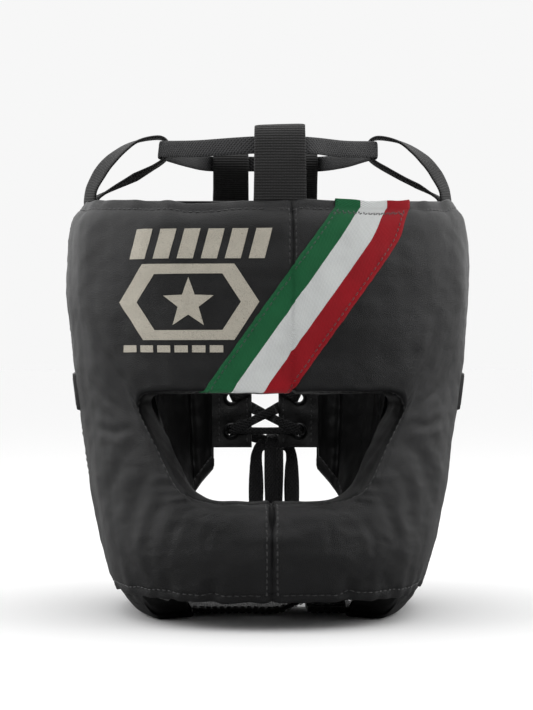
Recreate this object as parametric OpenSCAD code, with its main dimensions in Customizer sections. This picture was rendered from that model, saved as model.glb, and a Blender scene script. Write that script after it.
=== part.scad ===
// Face-saver boxing headgear: a padded leather shell with a nose and chin bar, laced at the back
// and drawn in over the crown. It faces -Y and stands on its jaw pads. Left and right are the wearer's.

/* [Shell] */
// Width across the padded sides
shell_width = 245; // [200:1:300]
// Depth from the bar to the back
shell_depth = 256; // [210:1:310]
// Height of the rim above the floor, at the sides
rim_height = 249.5; // [200:0.5:310]
// How much the rim rises at the back and drops at the front
rim_tilt = 6.5; // [0:0.5:12]
// Squareness of the shell in plan, 2 is an ellipse
squareness = 2.4; // [2:0.1:3]
// Squareness of the hollow inside in plan
hollow_squareness = 3; // [2:0.1:3.6]
// Angle of the side seams from straight ahead
side_seam = 88; // [84:1:94]

/* [Padding] */
// Padding at the forehead
forehead_pad = 37; // [20:1:45]
// Padding at the sides
side_pad = 42; // [24:1:52]
// Padding of the bar
bar_pad = 35; // [20:1:45]
// Padding at the back
rear_pad = 18; // [12:1:26]
// Thickness left at the rim, where the padding tapers out
rim_edge = 6; // [4:0.5:9]
// Leather of the cover
cover_skin = 1.5; // [0.8:0.1:2.2]
// Leather of the lining
lining_skin = 1.2; // [0.8:0.1:2]

/* [Eye opening] */
// Width of the opening at its top
eye_top_width = 164; // [120:1:180]
// Width of the opening at its bottom
eye_bottom_width = 94; // [60:1:110]
// Height of the forehead lip
eye_top = 133.5; // [120:0.5:150]
// Height of the top of the bar
eye_bottom = 69.5; // [55:0.5:85]
// Length of the rounded corners
eye_corner = 18; // [8:1:24]
// How far the lining stands into the opening past the cover
eye_inset = 8; // [4:1:14]

/* [Lower edge] */
// Height of the bar's lower edge
bar_clearance = 14.5; // [8:0.5:26]
// Height of the nape edge beside the lacing
nape_height = 95.5; // [75:0.5:115]
// Thickness of the bound lower edge
binding = 1.5; // [1:0.1:2.5]

/* [Lacing] */
// Number of eyelet rows
eyelet_rows = 6; // [3:1:6]
// Height of the lowest eyelets
first_row = 103.5; // [100:0.5:120]
// Distance between eyelet rows
row_pitch = 22.2; // [18:0.1:24]
// Distance of the eyelets from the middle
eyelet_offset = 22.6; // [18:0.2:28]
// Radius of the hole in an eyelet
eyelet_hole = 3; // [2.4:0.1:3.6]
// Distance of each lacing strip's free edge from the middle
strip_gap = 9; // [6:0.5:12]
// Width of a lacing strip
strip_width = 25; // [22:1:32]
// Thickness of a lacing strip
strip_thick = 2.4; // [1.6:0.1:3]
// Width of the flat lace
lace_width = 9; // [6:0.5:11]
// Thickness of the flat lace
lace_thick = 1.4; // [1:0.1:2]

/* [Crown] */
// Width of the front webbing loop
front_loop_width = 31; // [22:1:38]
// Width of a side webbing loop
side_loop_width = 15; // [12:1:20]
// Width of a rear webbing loop
rear_loop_width = 25; // [18:1:30]
// Thickness of the webbing
webbing = 1.6; // [1.2:0.1:2.2]

/* [Ribbon and print] */
// Width of each of the ribbon's three bands
band_width = 13.8; // [10:0.2:18]
// Lean of the ribbon from upright
ribbon_lean = 35.5; // [20:0.5:45]
// Thickness of the ribbon
ribbon_thick = 0.8; // [0.5:0.1:1.2]
// Thickness of the printed emblem
print_thick = 0.4; // [0.3:0.1:0.6]

/* [Chin strap] */
// Width of the chin strap
strap_width = 38; // [25:1:45]
// Thickness of the chin strap
strap_thick = 3.6; // [2.4:0.1:4.4]
// Thickness of the hook pad and of the loop pad
fastener_thick = 1.5; // [1:0.1:2]

/* [Ears] */
// Radius of the hearing hole
ear_hole = 11; // [7:0.5:14]
// Height of the hearing hole
ear_height = 106.5; // [95:0.5:125]

/* [Hidden] */
$fn = 48;

leather = "#18181a";
lining_black = "#101012";
foam_grey = "#3c3c40";
web_black = "#1d1d1f";
print_silver = "#bdb7a8";

// How far below the floor the shell's outline would come to its lowest point.
sink = 5.5;
// Outline of the shell, from that point (0) to the rim (1), as shares of its half width and half depth.
side_curve = [[0, 0.61], [0.04, 0.7], [0.1, 0.785], [0.2, 0.835], [0.3, 0.875], [0.45, 0.925],
    [0.6, 0.965], [0.75, 0.995], [0.9, 1], [0.96, 0.97], [1, 0.91]];
front_curve = [[0, 0.8], [0.08, 0.93], [0.15, 0.985], [0.2, 1], [0.25, 0.985], [0.3, 0.95], [0.42, 0.9],
    [0.55, 0.86], [0.7, 0.885], [0.85, 0.88], [0.95, 0.84], [1, 0.78]];
rear_curve = [[0, 0.73], [0.2, 0.83], [0.4, 0.925], [0.6, 1.005], [0.75, 1.045], [0.9, 1.015], [1, 0.945]];
// Share of the full padding that is left at each height.
taper = [[0, 0.55], [0.15, 0.8], [0.45, 0.84], [0.7, 1], [0.86, 1], [0.94, 0.55], [1, 0]];

function mix(a, b, t) = a + (b - a) * t;
function clamp(v) = min(1, max(0, v));
function unit(v) = v / norm(v);
function bend(v, square) = sign(v) * pow(abs(v), 2 / square);
function oval(a, w, d, square) = [w * bend(sin(a), square), -d * bend(cos(a), square)];
function rim_z(a) = rim_height - rim_tilt * cos(a);
function level(a, z) = (z + sink) / (rim_z(a) + sink);
function half_width(u) = shell_width / 2 * lookup(u, side_curve);
function reach(a, u) = shell_depth / 2 * lookup(u, cos(a) > 0 ? front_curve : rear_curve);
function end_pad(a, z) = cos(a) < 0 ? rear_pad : mix(bar_pad, forehead_pad, clamp((z - eye_bottom) / 60));
function share(a, u) = let(s = lookup(u, taper)) mix(s, max(s, clamp((1 - u) * 1.8)), pow(max(0, cos(a)), 2));
function pad(a, z) = let(full = mix(side_pad, end_pad(a, z), pow(cos(a), 2)))
    rim_edge + (full - rim_edge) * share(a, level(a, z));

// A point of the cover and a point of the lining's inner face, at an angle and a height.
function cover_point(a, z) = let(u = level(a, z), q = oval(a, half_width(u), reach(a, u), squareness))
    [q.x, q.y, z];
function hollow_square(u) = mix(hollow_squareness, squareness, clamp((u - 0.84) / 0.14));
function hollow_point(a, z) = let(u = level(a, z), p = pad(a, z),
    q = oval(a, half_width(u) - p, reach(a, u) - p, hollow_square(u))) [q.x, q.y, z];
function shell_point(a, z, deep) = mix(cover_point(a, z), hollow_point(a, z), deep);
// The angle at which the cover, or the hollow, is a given distance from the middle plane.
function angle_at(x, z) = sign(x) * asin(min(1, pow(abs(x) / half_width(level(0, z)), squareness / 2)));
function hollow_angle(x, z) = let(w = half_width(level(0, z)) - pad(side_seam, z))
    sign(x) * asin(min(1, pow(abs(x) / w, hollow_square(level(0, z)) / 2)));

// A point at a distance from the cover, or from the lining when the distance is counted from its end.
function between(p, q, gap) = p + unit(q - p) * gap;
function inward(p, q, gap) = q - unit(q - p) * gap;

// The four places where cover, foam and lining meet, from the cover's face to the lining's.
function layers(p, q) = [p, between(p, q, cover_skin), inward(p, q, lining_skin), q];

// A closed sheet of padding or leather, from two grids of points that face each other.
module sheet(top, under, ring = false) {
    n = len(top);
    m = len(top[0]);
    function at(i, j, k) = k * n * m + (i % n) * m + j;
    last = ring ? n - 1 : n - 2;
    skin = [for (i = [0:last], j = [0:m - 2]) each [
        [at(i, j, 0), at(i, j + 1, 0), at(i + 1, j + 1, 0)],
        [at(i, j, 0), at(i + 1, j + 1, 0), at(i + 1, j, 0)],
        [at(i, j, 1), at(i + 1, j + 1, 1), at(i, j + 1, 1)],
        [at(i, j, 1), at(i + 1, j, 1), at(i + 1, j + 1, 1)]]];
    rims = [for (i = [0:last]) each [
        [at(i, 0, 0), at(i + 1, 0, 0), at(i + 1, 0, 1)],
        [at(i, 0, 0), at(i + 1, 0, 1), at(i, 0, 1)],
        [at(i, m - 1, 0), at(i, m - 1, 1), at(i + 1, m - 1, 1)],
        [at(i, m - 1, 0), at(i + 1, m - 1, 1), at(i + 1, m - 1, 0)]]];
    ends = ring ? [] : [for (j = [0:m - 2]) each [
        [at(0, j, 0), at(0, j, 1), at(0, j + 1, 1)],
        [at(0, j, 0), at(0, j + 1, 1), at(0, j + 1, 0)],
        [at(n - 1, j, 0), at(n - 1, j + 1, 1), at(n - 1, j, 1)],
        [at(n - 1, j, 0), at(n - 1, j + 1, 0), at(n - 1, j + 1, 1)]]];
    points = [for (side = [top, under], row = side, p = row) p];
    polyhedron(points, concat(skin, rims, ends), convexity = 8);
}

// Front panel: columns run round the eye opening from the forehead seam, rows from the opening outwards.
forehead_seam = 12;
lip_steps = 7;
corner_steps = 3;
flank_steps = 5;
bar_steps = 6;
half_columns = lip_steps + 2 * corner_steps + flank_steps + bar_steps;
rows = [0, 0.15, 0.32, 0.5, 0.66, 0.8, 0.9, 0.96, 1];
flank_start = lip_steps + corner_steps;
flank_end = flank_start + flank_steps + corner_steps;

function curve(p, q, r, t) = mix(mix(p, q, t), mix(q, r, t), t);
eye_high = [eye_top_width / 2, eye_top];
eye_low = [eye_bottom_width / 2, eye_bottom];
eye_side = unit(eye_low - eye_high);
// Half of the opening's outline, as distance from the middle and height.
function eye_outline(side) = concat(
    [for (k = [0:lip_steps - 1]) mix([forehead_seam * side, eye_top], eye_high - [eye_corner, 0], k / lip_steps)],
    [for (k = [0:corner_steps - 1]) curve(eye_high - [eye_corner, 0], eye_high, eye_high + eye_side * eye_corner,
        k / corner_steps)],
    [for (k = [0:flank_steps - 1]) mix(eye_high + eye_side * eye_corner, eye_low - eye_side * eye_corner,
        k / flank_steps)],
    [for (k = [0:corner_steps - 1]) curve(eye_low - eye_side * eye_corner, eye_low, eye_low - [eye_corner, 0],
        k / corner_steps)],
    [for (k = [0:bar_steps]) mix(eye_low - [eye_corner, 0], [0, eye_bottom], k / bar_steps)]);
// Half of the panel's outer outline, as angle and height: rim, side seam, lower edge.
function panel_outline(side) = let(start = angle_at(forehead_seam * side, rim_z(0) * 0.97),
    low_steps = half_columns - flank_end) concat(
    [for (k = [0:flank_start - 1]) let(a = mix(start, side_seam, k / flank_start)) [a, rim_z(a)]],
    [for (k = [0:flank_end - flank_start - 1]) [side_seam, mix(rim_z(side_seam), bar_clearance,
        k / (flank_end - flank_start))]],
    [for (k = [0:low_steps]) [mix(side_seam, 0, k / low_steps), bar_clearance]]);

// One column of the panel: angle and height at each row, on the cover (deep = 0) or the lining (deep = 1).
function front_column(i, deep) = let(c = (i + 4 * half_columns) % (2 * half_columns),
    side = c <= half_columns ? 1 : -1, k = c <= half_columns ? c : 2 * half_columns - c,
    eye = eye_outline(side)[k], tucked = eye.x * (1 - eye_inset / eye_high.x),
    start = deep == 0 ? [angle_at(eye.x, eye.y), eye.y] : [hollow_angle(tucked, eye.y), eye.y],
    end = panel_outline(side)[k])
    [for (t = rows) let(p = mix(start, end, t)) shell_point(side * p.x, p.y, deep)];

module front_layer(first, last, skin_out, skin_in, kind) {
    ring = last - first >= 2 * half_columns;
    outer = [for (i = [first:ring ? last - 1 : last]) front_column(i, 0)];
    inner = [for (i = [first:ring ? last - 1 : last]) front_column(i, 1)];
    n = len(outer) - 1;
    m = len(rows) - 1;
    cover = [for (i = [0:n]) [for (j = [0:m]) outer[i][j]]];
    cover_back = [for (i = [0:n]) [for (j = [0:m]) between(outer[i][j], inner[i][j], skin_out)]];
    lining_face = [for (i = [0:n]) [for (j = [0:m]) inward(outer[i][j], inner[i][j], skin_in)]];
    lining = [for (i = [0:n]) [for (j = [0:m]) inner[i][j]]];
    if (kind == "cover") sheet(cover, cover_back, ring);
    if (kind == "foam") sheet(cover_back, lining_face, ring);
    if (kind == "lining") sheet(lining_face, lining, ring);
}

module front_cover_left() {
    color(leather) front_layer(0, half_columns, cover_skin, lining_skin, "cover");
}

module front_cover_right() {
    color(leather) front_layer(half_columns, 2 * half_columns, cover_skin, lining_skin, "cover");
}

module forehead_foam() {
    color(foam_grey) front_layer(-flank_start, flank_start, cover_skin, lining_skin, "foam");
}

module bar_foam() {
    color(foam_grey) front_layer(flank_end, 2 * half_columns - flank_end, cover_skin, lining_skin, "foam");
}

module cheek_foam_left() {
    color(foam_grey) front_layer(flank_start, flank_end, cover_skin, lining_skin, "foam");
}

module cheek_foam_right() {
    color(foam_grey) front_layer(-flank_end, -flank_start, cover_skin, lining_skin, "foam");
}

module forehead_lining() {
    color(lining_black) front_layer(-flank_start, flank_start, cover_skin, lining_skin, "lining");
}

module bar_lining() {
    color(lining_black) front_layer(flank_end, 2 * half_columns - flank_end, cover_skin, lining_skin, "lining");
}

module cheek_lining_left() {
    color(lining_black) front_layer(flank_start, flank_end, cover_skin, lining_skin, "lining");
}

module cheek_lining_right() {
    color(lining_black) front_layer(-flank_end, -flank_start, cover_skin, lining_skin, "lining");
}

// Leather band over the padding's edge, all round the eye opening.
module eye_binding() {
    middle = [0, 0, (eye_top + eye_bottom) / 2];
    function into(p) = p + unit([middle.x - p.x, 0, middle.z - p.z]) * cover_skin;
    edge = [for (i = [0:2 * half_columns - 1]) layers(front_column(i, 0)[0], front_column(i, 1)[0])];
    lifted = [for (row = edge) [for (p = row) into(p)]];
    color(leather) sheet(edge, lifted, true);
}

// Ribbon of three bands across the forehead, from the lip to the rim.
ribbon_foot = -39;
ribbon_steps = 16;
function on_forehead(x, z, lift) = let(a = angle_at(x, z))
    between(shell_point(a, z, 0), shell_point(a, z, 1), -lift);
module ribbon_band(k) {
    across = band_width / cos(ribbon_lean);
    lift = 0.5;
    function spot(i, j, up) = let(z = mix(eye_top + 1, rim_z(0) - 1, j / ribbon_steps),
        x = ribbon_foot + (z - eye_top) * tan(ribbon_lean) + across * (k + i / 2)) on_forehead(x, z, up);
    top = [for (j = [ribbon_steps:-1:0]) [for (i = [0:2]) spot(i, j, lift + ribbon_thick)]];
    under = [for (j = [ribbon_steps:-1:0]) [for (i = [0:2]) spot(i, j, lift)]];
    sheet(top, under);
}

module ribbon_green() {
    color("#157a45") ribbon_band(0);
}

module ribbon_white() {
    color("#eceae6") ribbon_band(1);
}

module ribbon_red() {
    color("#b3202c") ribbon_band(2);
}

// Emblem: a row of slanted bars, a long hexagon with a star in it, and a thin rule under them.
emblem_x = -47;
emblem_z = 184.5;
badge = [40, 21.5];
module printed_plate(outline) {
    count = len(outline);
    middle = [for (axis = [0, 1]) (max([for (p = outline) p[axis]]) + min([for (p = outline) p[axis]])) / 2];
    all = concat(outline, [middle]);
    lift = 0.35;
    points = concat([for (p = all) on_forehead(p.x, p.y, lift + print_thick)],
        [for (p = all) on_forehead(p.x, p.y, lift)]);
    base = count + 1;
    faces = [for (i = [0:count - 1]) let(n = (i + 1) % count) each [
        [count, i, n], [base + count, base + n, base + i], [i, base + i, base + n], [i, base + n, n]]];
    polyhedron(points, faces, convexity = 6);
}

module printed_frame(outline, share) {
    middle = [emblem_x, emblem_z];
    outer = [for (p = outline) [on_forehead(p.x, p.y, 0.35 + print_thick),
        let(q = mix(p, middle, share)) on_forehead(q.x, q.y, 0.35 + print_thick)]];
    inner = [for (p = outline) [on_forehead(p.x, p.y, 0.35), let(q = mix(p, middle, share)) on_forehead(q.x, q.y, 0.35)]];
    sheet([for (row = outer) [row[1], row[0]]], [for (row = inner) [row[1], row[0]]], true);
}

module printed_emblem() {
    nose = 14;
    hexagon = [[-badge.x, 0], [nose - badge.x, badge.y], [badge.x - nose, badge.y], [badge.x, 0],
        [badge.x - nose, -badge.y], [nose - badge.x, -badge.y]];
    function side(i) = [hexagon[i], hexagon[(i + 1) % 6]];
    outline = [for (i = [0:5], k = [0:3]) mix(side(i)[0], side(i)[1], k / 4) + [emblem_x, emblem_z]];
    star = [for (i = [0:9]) let(r = i % 2 == 0 ? 15 : 6.2) [emblem_x, emblem_z - 1] + r * [sin(36 * i), cos(36 * i)]];
    slanted_bar = [[-6.5, -8.5], [-2, 8.5], [7, 8.5], [2.5, -8.5]];
    bar_pitch = 13.5;
    dash = [[-3.8, -2], [-3.8, 2], [3.8, 2], [3.8, -2]];
    dash_pitch = 10;
    color(print_silver) {
        printed_frame(outline, 0.26);
        printed_plate(star);
        for (k = [0:5]) {
            x = emblem_x - 27 + k * bar_pitch;
            z = emblem_z + 33;
            printed_plate([for (p = slanted_bar) p + [x, z]]);
        }
        for (k = [0:5]) {
            x = emblem_x - 34 + k * dash_pitch;
            z = emblem_z - 26.5;
            printed_plate([for (p = dash) p + [x, z]]);
        }
    }
}

// Side panel: columns run from the side seam to the lacing strip, rows from the lower edge to the rim.
side_columns = 14;
side_rows = flank_end - flank_start;
strip_edge = strip_gap + strip_width;
nape_angle = 174;
rise_angle = 110;
rear_angle = 180 - angle_at(strip_edge, nape_height);
function side_low(a) = mix(bar_clearance, nape_height, pow(clamp((a - rise_angle) / (nape_angle - rise_angle)), 1.55));
function side_angle(s, z) = mix(side_seam, 180 - angle_at(strip_edge, z), s);
function pinch(s) = 0.36 * pow(clamp((s - 0.7) / 0.3), 2);
function side_spot(i, j) = let(s = i / side_columns, a0 = mix(side_seam, rear_angle, s),
    z0 = mix(side_low(a0), rim_z(a0), j / side_rows), a = side_angle(s, z0),
    z = mix(side_low(a), rim_z(a), j / side_rows)) [a, z, s];
function side_pair(i, j) = let(q = side_spot(i, j), p = shell_point(q.x, q.y, 0), r = shell_point(q.x, q.y, 1),
    w = pinch(q.z)) [mix(p, r, w), mix(r, p, w)];

module side_layer(kind) {
    n = side_columns;
    m = side_rows;
    pairs = [for (i = [0:n]) [for (j = [0:m]) side_pair(i, j)]];
    cover = [for (i = [0:n]) [for (j = [0:m]) pairs[i][j][0]]];
    cover_back = [for (i = [0:n]) [for (j = [0:m]) between(pairs[i][j][0], pairs[i][j][1], cover_skin)]];
    lining_face = [for (i = [0:n]) [for (j = [0:m]) inward(pairs[i][j][0], pairs[i][j][1], lining_skin)]];
    lining = [for (i = [0:n]) [for (j = [0:m]) pairs[i][j][1]]];
    difference() {
        if (kind == "cover") sheet(cover, cover_back);
        else if (kind == "foam") sheet(cover_back, lining_face);
        else sheet(lining_face, lining);
        ear_bore();
    }
}

ear_y = 12;
module ear_bore() {
    translate([0, ear_y, ear_height]) rotate([0, 90, 0]) cylinder(r = ear_hole, h = shell_width);
}

module side_cover_left() {
    color(leather) side_layer("cover");
}

module side_foam_left() {
    color(foam_grey) side_layer("foam");
}

module side_lining_left() {
    color(lining_black) side_layer("lining");
}

module side_cover_right() {
    mirror([1, 0, 0]) side_cover_left();
}

module side_foam_right() {
    mirror([1, 0, 0]) side_foam_left();
}

module side_lining_right() {
    mirror([1, 0, 0]) side_lining_left();
}

// Jaw pad under the leather shell, standing on a flat bound foot, and the bound edge from it up to the nape.
jaw_start = 50;
jaw_end = 124;
jaw_steps = 12;
jaw_inset = 2;
function jaw_low(a) = mix(binding, bar_clearance - 2, clamp((a - rise_angle + 6) / (jaw_end - rise_angle + 6)));
module jaw_pad_left() {
    angles = [for (k = [0:jaw_steps]) mix(jaw_start, jaw_end, k / jaw_steps)];
    levels = [0, 0.35, 0.7, 1];
    function spot(a, t, deep) = let(z = mix(jaw_low(a), bar_clearance - 0.2, t), p = shell_point(a, z, 0),
        q = shell_point(a, z, 1)) deep == 0 ? between(p, q, jaw_inset) : q;
    color(lining_black) sheet([for (a = angles) [for (t = levels) spot(a, t, 0)]],
        [for (a = angles) [for (t = levels) spot(a, t, 1)]]);
}

module jaw_pad_right() {
    mirror([1, 0, 0]) jaw_pad_left();
}

foot_end = rise_angle - 6;
foot_steps = 12;
module lower_binding_left() {
    foot = [for (k = [0:foot_steps]) mix(jaw_start + 2, foot_end, k / foot_steps)];
    function edge(a, deep) = let(p = shell_point(a, binding, 0), q = shell_point(a, binding, 1))
        deep == 0 ? between(p, q, jaw_inset) : q;
    outline = [for (k = [0:foot_steps]) each [edge(foot[k], 0)], for (k = [foot_steps:-1:0]) each [edge(foot[k], 1)]];
    first = ceil((jaw_end - side_seam) / (rear_angle - side_seam) * side_columns);
    band = [for (i = [first:side_columns]) let(pair = side_pair(i, 0)) layers(pair[0], pair[1])];
    drop = [0, 0, -binding];
    color(lining_black) {
        linear_extrude(binding) polygon([for (p = outline) [p.x, p.y]]);
        sheet(band, [for (row = band) [for (p = row) p + drop]]);
    }
}

module lower_binding_right() {
    mirror([1, 0, 0]) lower_binding_left();
}

// Lined hearing hole in each side panel.
module ear_ring_left() {
    face = shell_point(side_seam + 4, ear_height, 0).x;
    back = shell_point(side_seam + 4, ear_height, 1).x;
    wall = 1.2;
    color(leather) translate([back - 1, ear_y, ear_height]) rotate([0, 90, 0]) difference() {
        cylinder(r = ear_hole, h = face - back + 2);
        translate([0, 0, -1]) cylinder(r = ear_hole - wall, h = face - back + 4);
    }
}

module ear_ring_right() {
    mirror([1, 0, 0]) ear_ring_left();
}

// Sewn leather patch over the side seam.
patch_low = 120.5;
patch_high = 144.5;
module side_patch_left() {
    angles = [for (k = [0:4]) mix(side_seam - 9, side_seam + 11, k / 4)];
    heights = [for (k = [0:2]) mix(patch_low, patch_high, k / 2)];
    function lifted(a, z, up) = between(shell_point(a, z, 0), shell_point(a, z, 1), -up);
    color(leather) sheet([for (a = angles) [for (z = heights) lifted(a, z, 1.8)]],
        [for (a = angles) [for (z = heights) lifted(a, z, 0.3)]]);
}

module side_patch_right() {
    mirror([1, 0, 0]) side_patch_left();
}

// Lacing strips: flat facets, one for each eyelet row, with the pads' edges at their mid thickness.
function row_z(k) = first_row + k * row_pitch;
function strip_y(z) = let(a = 180 - angle_at(strip_edge, z)) (shell_point(a, z, 0).y + shell_point(a, z, 1).y) / 2;
strip_top = rim_z(180) - 1;
strip_levels = concat([for (k = [0:eyelet_rows]) first_row + (k - 0.5) * row_pitch], [strip_top]);
function row_y(k) = (strip_y(strip_levels[k]) + strip_y(strip_levels[k + 1])) / 2;
function row_slope(k) = atan2(strip_y(strip_levels[k + 1]) - strip_y(strip_levels[k]), row_pitch);
module at_eyelet(k) {
    translate([eyelet_offset, row_y(k), row_z(k)]) rotate([-90 - row_slope(k), 0, 0]) children();
}

flange = 2.4;
module lacing_strip_left() {
    outline = concat([for (z = strip_levels) [strip_y(z) + strip_thick / 2, z]],
        [for (k = [len(strip_levels) - 1:-1:0]) [strip_y(strip_levels[k]) - strip_thick / 2, strip_levels[k]]]);
    color(leather) difference() {
        translate([strip_gap, 0, 0]) rotate([90, 0, 90]) linear_extrude(strip_width) polygon(outline);
        for (k = [0:eyelet_rows - 1]) at_eyelet(k) cylinder(r = eyelet_hole + 0.8, h = 20, center = true);
    }
}

module lacing_strip_right() {
    mirror([1, 0, 0]) lacing_strip_left();
}

module eyelets_left() {
    h = strip_thick / 2;
    profile = [[eyelet_hole, -h - 0.6], [eyelet_hole + flange, -h - 0.6], [eyelet_hole + flange, -h],
        [eyelet_hole + 0.7, -h], [eyelet_hole + 0.7, h], [eyelet_hole + flange, h],
        [eyelet_hole + flange, h + 0.6], [eyelet_hole, h + 0.6]];
    color("#232325") for (k = [0:eyelet_rows - 1]) at_eyelet(k) rotate_extrude() polygon(profile);
}

module eyelets_right() {
    mirror([1, 0, 0]) eyelets_left();
}

// Swept bands: each station is a place, the way it runs, the way its width points, its width and its thickness.
module swept(stations) {
    function corner(s, k) = s[0] + s[2] * s[3] / 2 * (k == 0 || k == 3 ? 1 : -1)
        + cross(s[1], s[2]) * s[4] / 2 * (k < 2 ? 1 : -1);
    n = len(stations);
    points = [for (s = stations, k = [0:3]) corner(s, k)];
    skin = [for (i = [0:n - 2], k = [0:3]) let(a = i * 4 + k, b = i * 4 + (k + 1) % 4) each [
        [a, b + 4, b], [a, a + 4, b + 4]]];
    polyhedron(points, concat(skin, [[0, 1, 2, 3]], [[for (k = [3:-1:0]) (n - 1) * 4 + k]]), convexity = 12);
}

// Stations along a route, with the band's width kept along a given way.
function along(route, flat, wide, thick) = [for (i = [0:len(route) - 1])
    let(t = unit(route[min(i + 1, len(route) - 1)] - route[max(i - 1, 0)]))
    [route[i], t, unit(flat - t * (flat * t)), wide, thick]];

// Each strand comes out through an eyelet, crosses the gap, and goes in behind the other strip to the next one down.
squeezed = 1.4 * eyelet_hole;
bunched = lace_thick + 0.2;
clear = 5;
dive = 1.5;
dive_share = 0.9;
over = strip_thick / 2 + 0.6 + lace_thick / 2 + 0.2;
crossing_reach = 5.5;
crossing_width = 5;
crossing_gap = lace_thick / 2 + 0.2;
turn_in = 1.4;
function crossing(k, side, lift) = let(x = eyelet_offset, high = row_z(k), low = row_z(k - 1),
    way = unit([2 * x, low - high]), d = [side * way.x, 0, way.y], w = [-side * way.y, 0, way.x],
    dip = unit(d + [0, 1, 0]),
    spot = function (across, off) let(t = (x - across) / (2 * x))
        [side * across, mix(row_y(k - 1), row_y(k), t) + off, mix(low, high, t)])
    [[spot(-x, 0), [0, 1, 0], [0, 0, 1], squeezed, bunched],
     [spot(dive - x, over * dive_share), dip, w, squeezed, bunched],
     [spot(clear - x, over), d, w, lace_width - 2, lace_thick],
     [spot(turn_in - strip_gap, over), d, w, lace_width - 3, lace_thick],
     [spot(-crossing_reach, lift), d, w, crossing_width, lace_thick],
     [spot(crossing_reach, lift), d, w, crossing_width, lace_thick],
     [spot(strip_gap - turn_in, -over), d, w, lace_width - 3, lace_thick],
     [spot(x - clear, -over), d, w, lace_width - 2, lace_thick],
     [spot(x - dive, -over * dive_share), dip, w, squeezed, bunched]];

knot_size = [14, 8, 11];
knot_at = [6, row_y(0) + over + knot_size.y / 2 - 1, first_row - 7];
knot_side = knot_size.x / 2;
module rear_lace() {
    top = eyelet_rows - 1;
    up = [0, 0, 1];
    wide = lace_width - 2;
    function top_side(side, x) = [[side * x, row_y(top) - over, row_z(top)], [side, 0, 0], up, wide, lace_thick];
    function top_dip(side) = [[side * (eyelet_offset - dive), row_y(top) - over * dive_share, row_z(top)],
        unit([side, 1, 0]), up, squeezed, bunched];
    function run_out(side) = let(x = side * eyelet_offset, end = knot_at + [side * knot_side, 0, 0])
        [[[x, row_y(0), row_z(0)], [0, 1, 0], up, squeezed, bunched],
         [[x - side * dive, row_y(0) + over * dive_share, row_z(0)], unit([-side, 1, 0]), up, squeezed, bunched],
         [[x - side * clear, row_y(0) + over, row_z(0) - 1], [-side, 0, 0], up, wide, lace_thick],
         [end, [-side, 0, 0], up, wide, lace_thick]];
    color(web_black) for (side = [-1, 1]) swept(concat(
        [top_side(-side, 0.1), top_side(-side, eyelet_offset - clear), top_dip(-side)],
        [for (k = [top:-1:1]) each crossing(k, (top - k) % 2 == 0 ? side : -side, side * crossing_gap)],
        run_out(top % 2 == 0 ? -side : side)));
}

module lace_knot() {
    color(web_black) translate(knot_at - knot_size / 2) hull() for (x = [2, knot_size.x - 2], y = [2, knot_size.y - 2])
        translate([x, y, 0]) cylinder(r = 2, h = knot_size.z, $fn = 24);
}

// Each half of the bow leaves the knot's side, hangs down, and comes back up behind itself.
bow_drop = 60;
bow_depth = 6;
module bow_loop(side) {
    function at(x, y, z) = knot_at + [side * (knot_side + x), y, z];
    down = [0, 0, -1];
    across = [side, 0, 0];
    slant = unit([side, 0, -1]);
    slant_wide = unit([side, 0, 1]);
    front = -2.2;
    back = front + bow_depth;
    swept([
        [at(0, front, -1), across, [0, 0, 1], 5, lace_thick],
        [at(2.6, front, -3), slant, slant_wide, 6, lace_thick],
        [at(5, front, -9), down, across, lace_width, lace_thick],
        [at(5, front, -bow_drop * 0.5), down, across, lace_width, lace_thick],
        [at(5, front + 0.3, -bow_drop + 3), down, across, lace_width, lace_thick],
        [at(5, front + 1.2, -bow_drop + 0.6), unit([0, 1, -1.2]), across, lace_width, lace_thick],
        [at(5, front + 3, -bow_drop), [0, 1, 0], across, lace_width, lace_thick],
        [at(5, back - 1.2, -bow_drop + 0.6), unit([0, 1, 1.2]), across, lace_width, lace_thick],
        [at(5, back - 0.3, -bow_drop + 3), -down, across, lace_width, lace_thick],
        [at(5, back, -bow_drop * 0.5), -down, across, lace_width, lace_thick],
        [at(5, back - 1, -10), -down, across, lace_width, lace_thick],
        [at(3, back - 2, -5), -slant, slant_wide, 6, lace_thick],
        [at(0, back - 2.6, -3), -across, [0, 0, 1], 5, lace_thick]
    ]);
}

module bow_loop_left() {
    color(web_black) bow_loop(1);
}

module bow_loop_right() {
    color(web_black) bow_loop(-1);
}

// Free ends of the lace, hanging from the knot's underside.
module lace_tail(x, y, end) {
    start = knot_at + [x, y, -knot_size.z / 2];
    route = [start, start + [x / 4, 0, -8], [start.x + x / 4, start.y + 0.5, mix(start.z, end, 0.5)],
        [start.x + x / 4, start.y + 0.8, end]];
    swept(along(route, [1, 0, 0], lace_width, lace_thick));
}

module lace_tail_left() {
    color(web_black) lace_tail(1.5, 2.2, 20.5);
}

module lace_tail_right() {
    color(web_black) lace_tail(-1.5, -1.2, 6.5);
}

// A folded band of webbing, from its route seen edge on.
function band_outline(route, thick) = let(n = len(route) - 1,
    side = [for (i = [0:n]) let(t = unit(route[min(i + 1, n)] - route[max(i - 1, 0)])) [-t.y, t.x] * thick / 2])
    concat([for (i = [0:n]) route[i] + side[i]], [for (i = [n:-1:0]) route[i] - side[i]]);
module upright_band(x, wide, route) {
    translate([x - wide / 2, 0, 0]) rotate([90, 0, 90]) linear_extrude(wide) polygon(band_outline(route, webbing));
}

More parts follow.
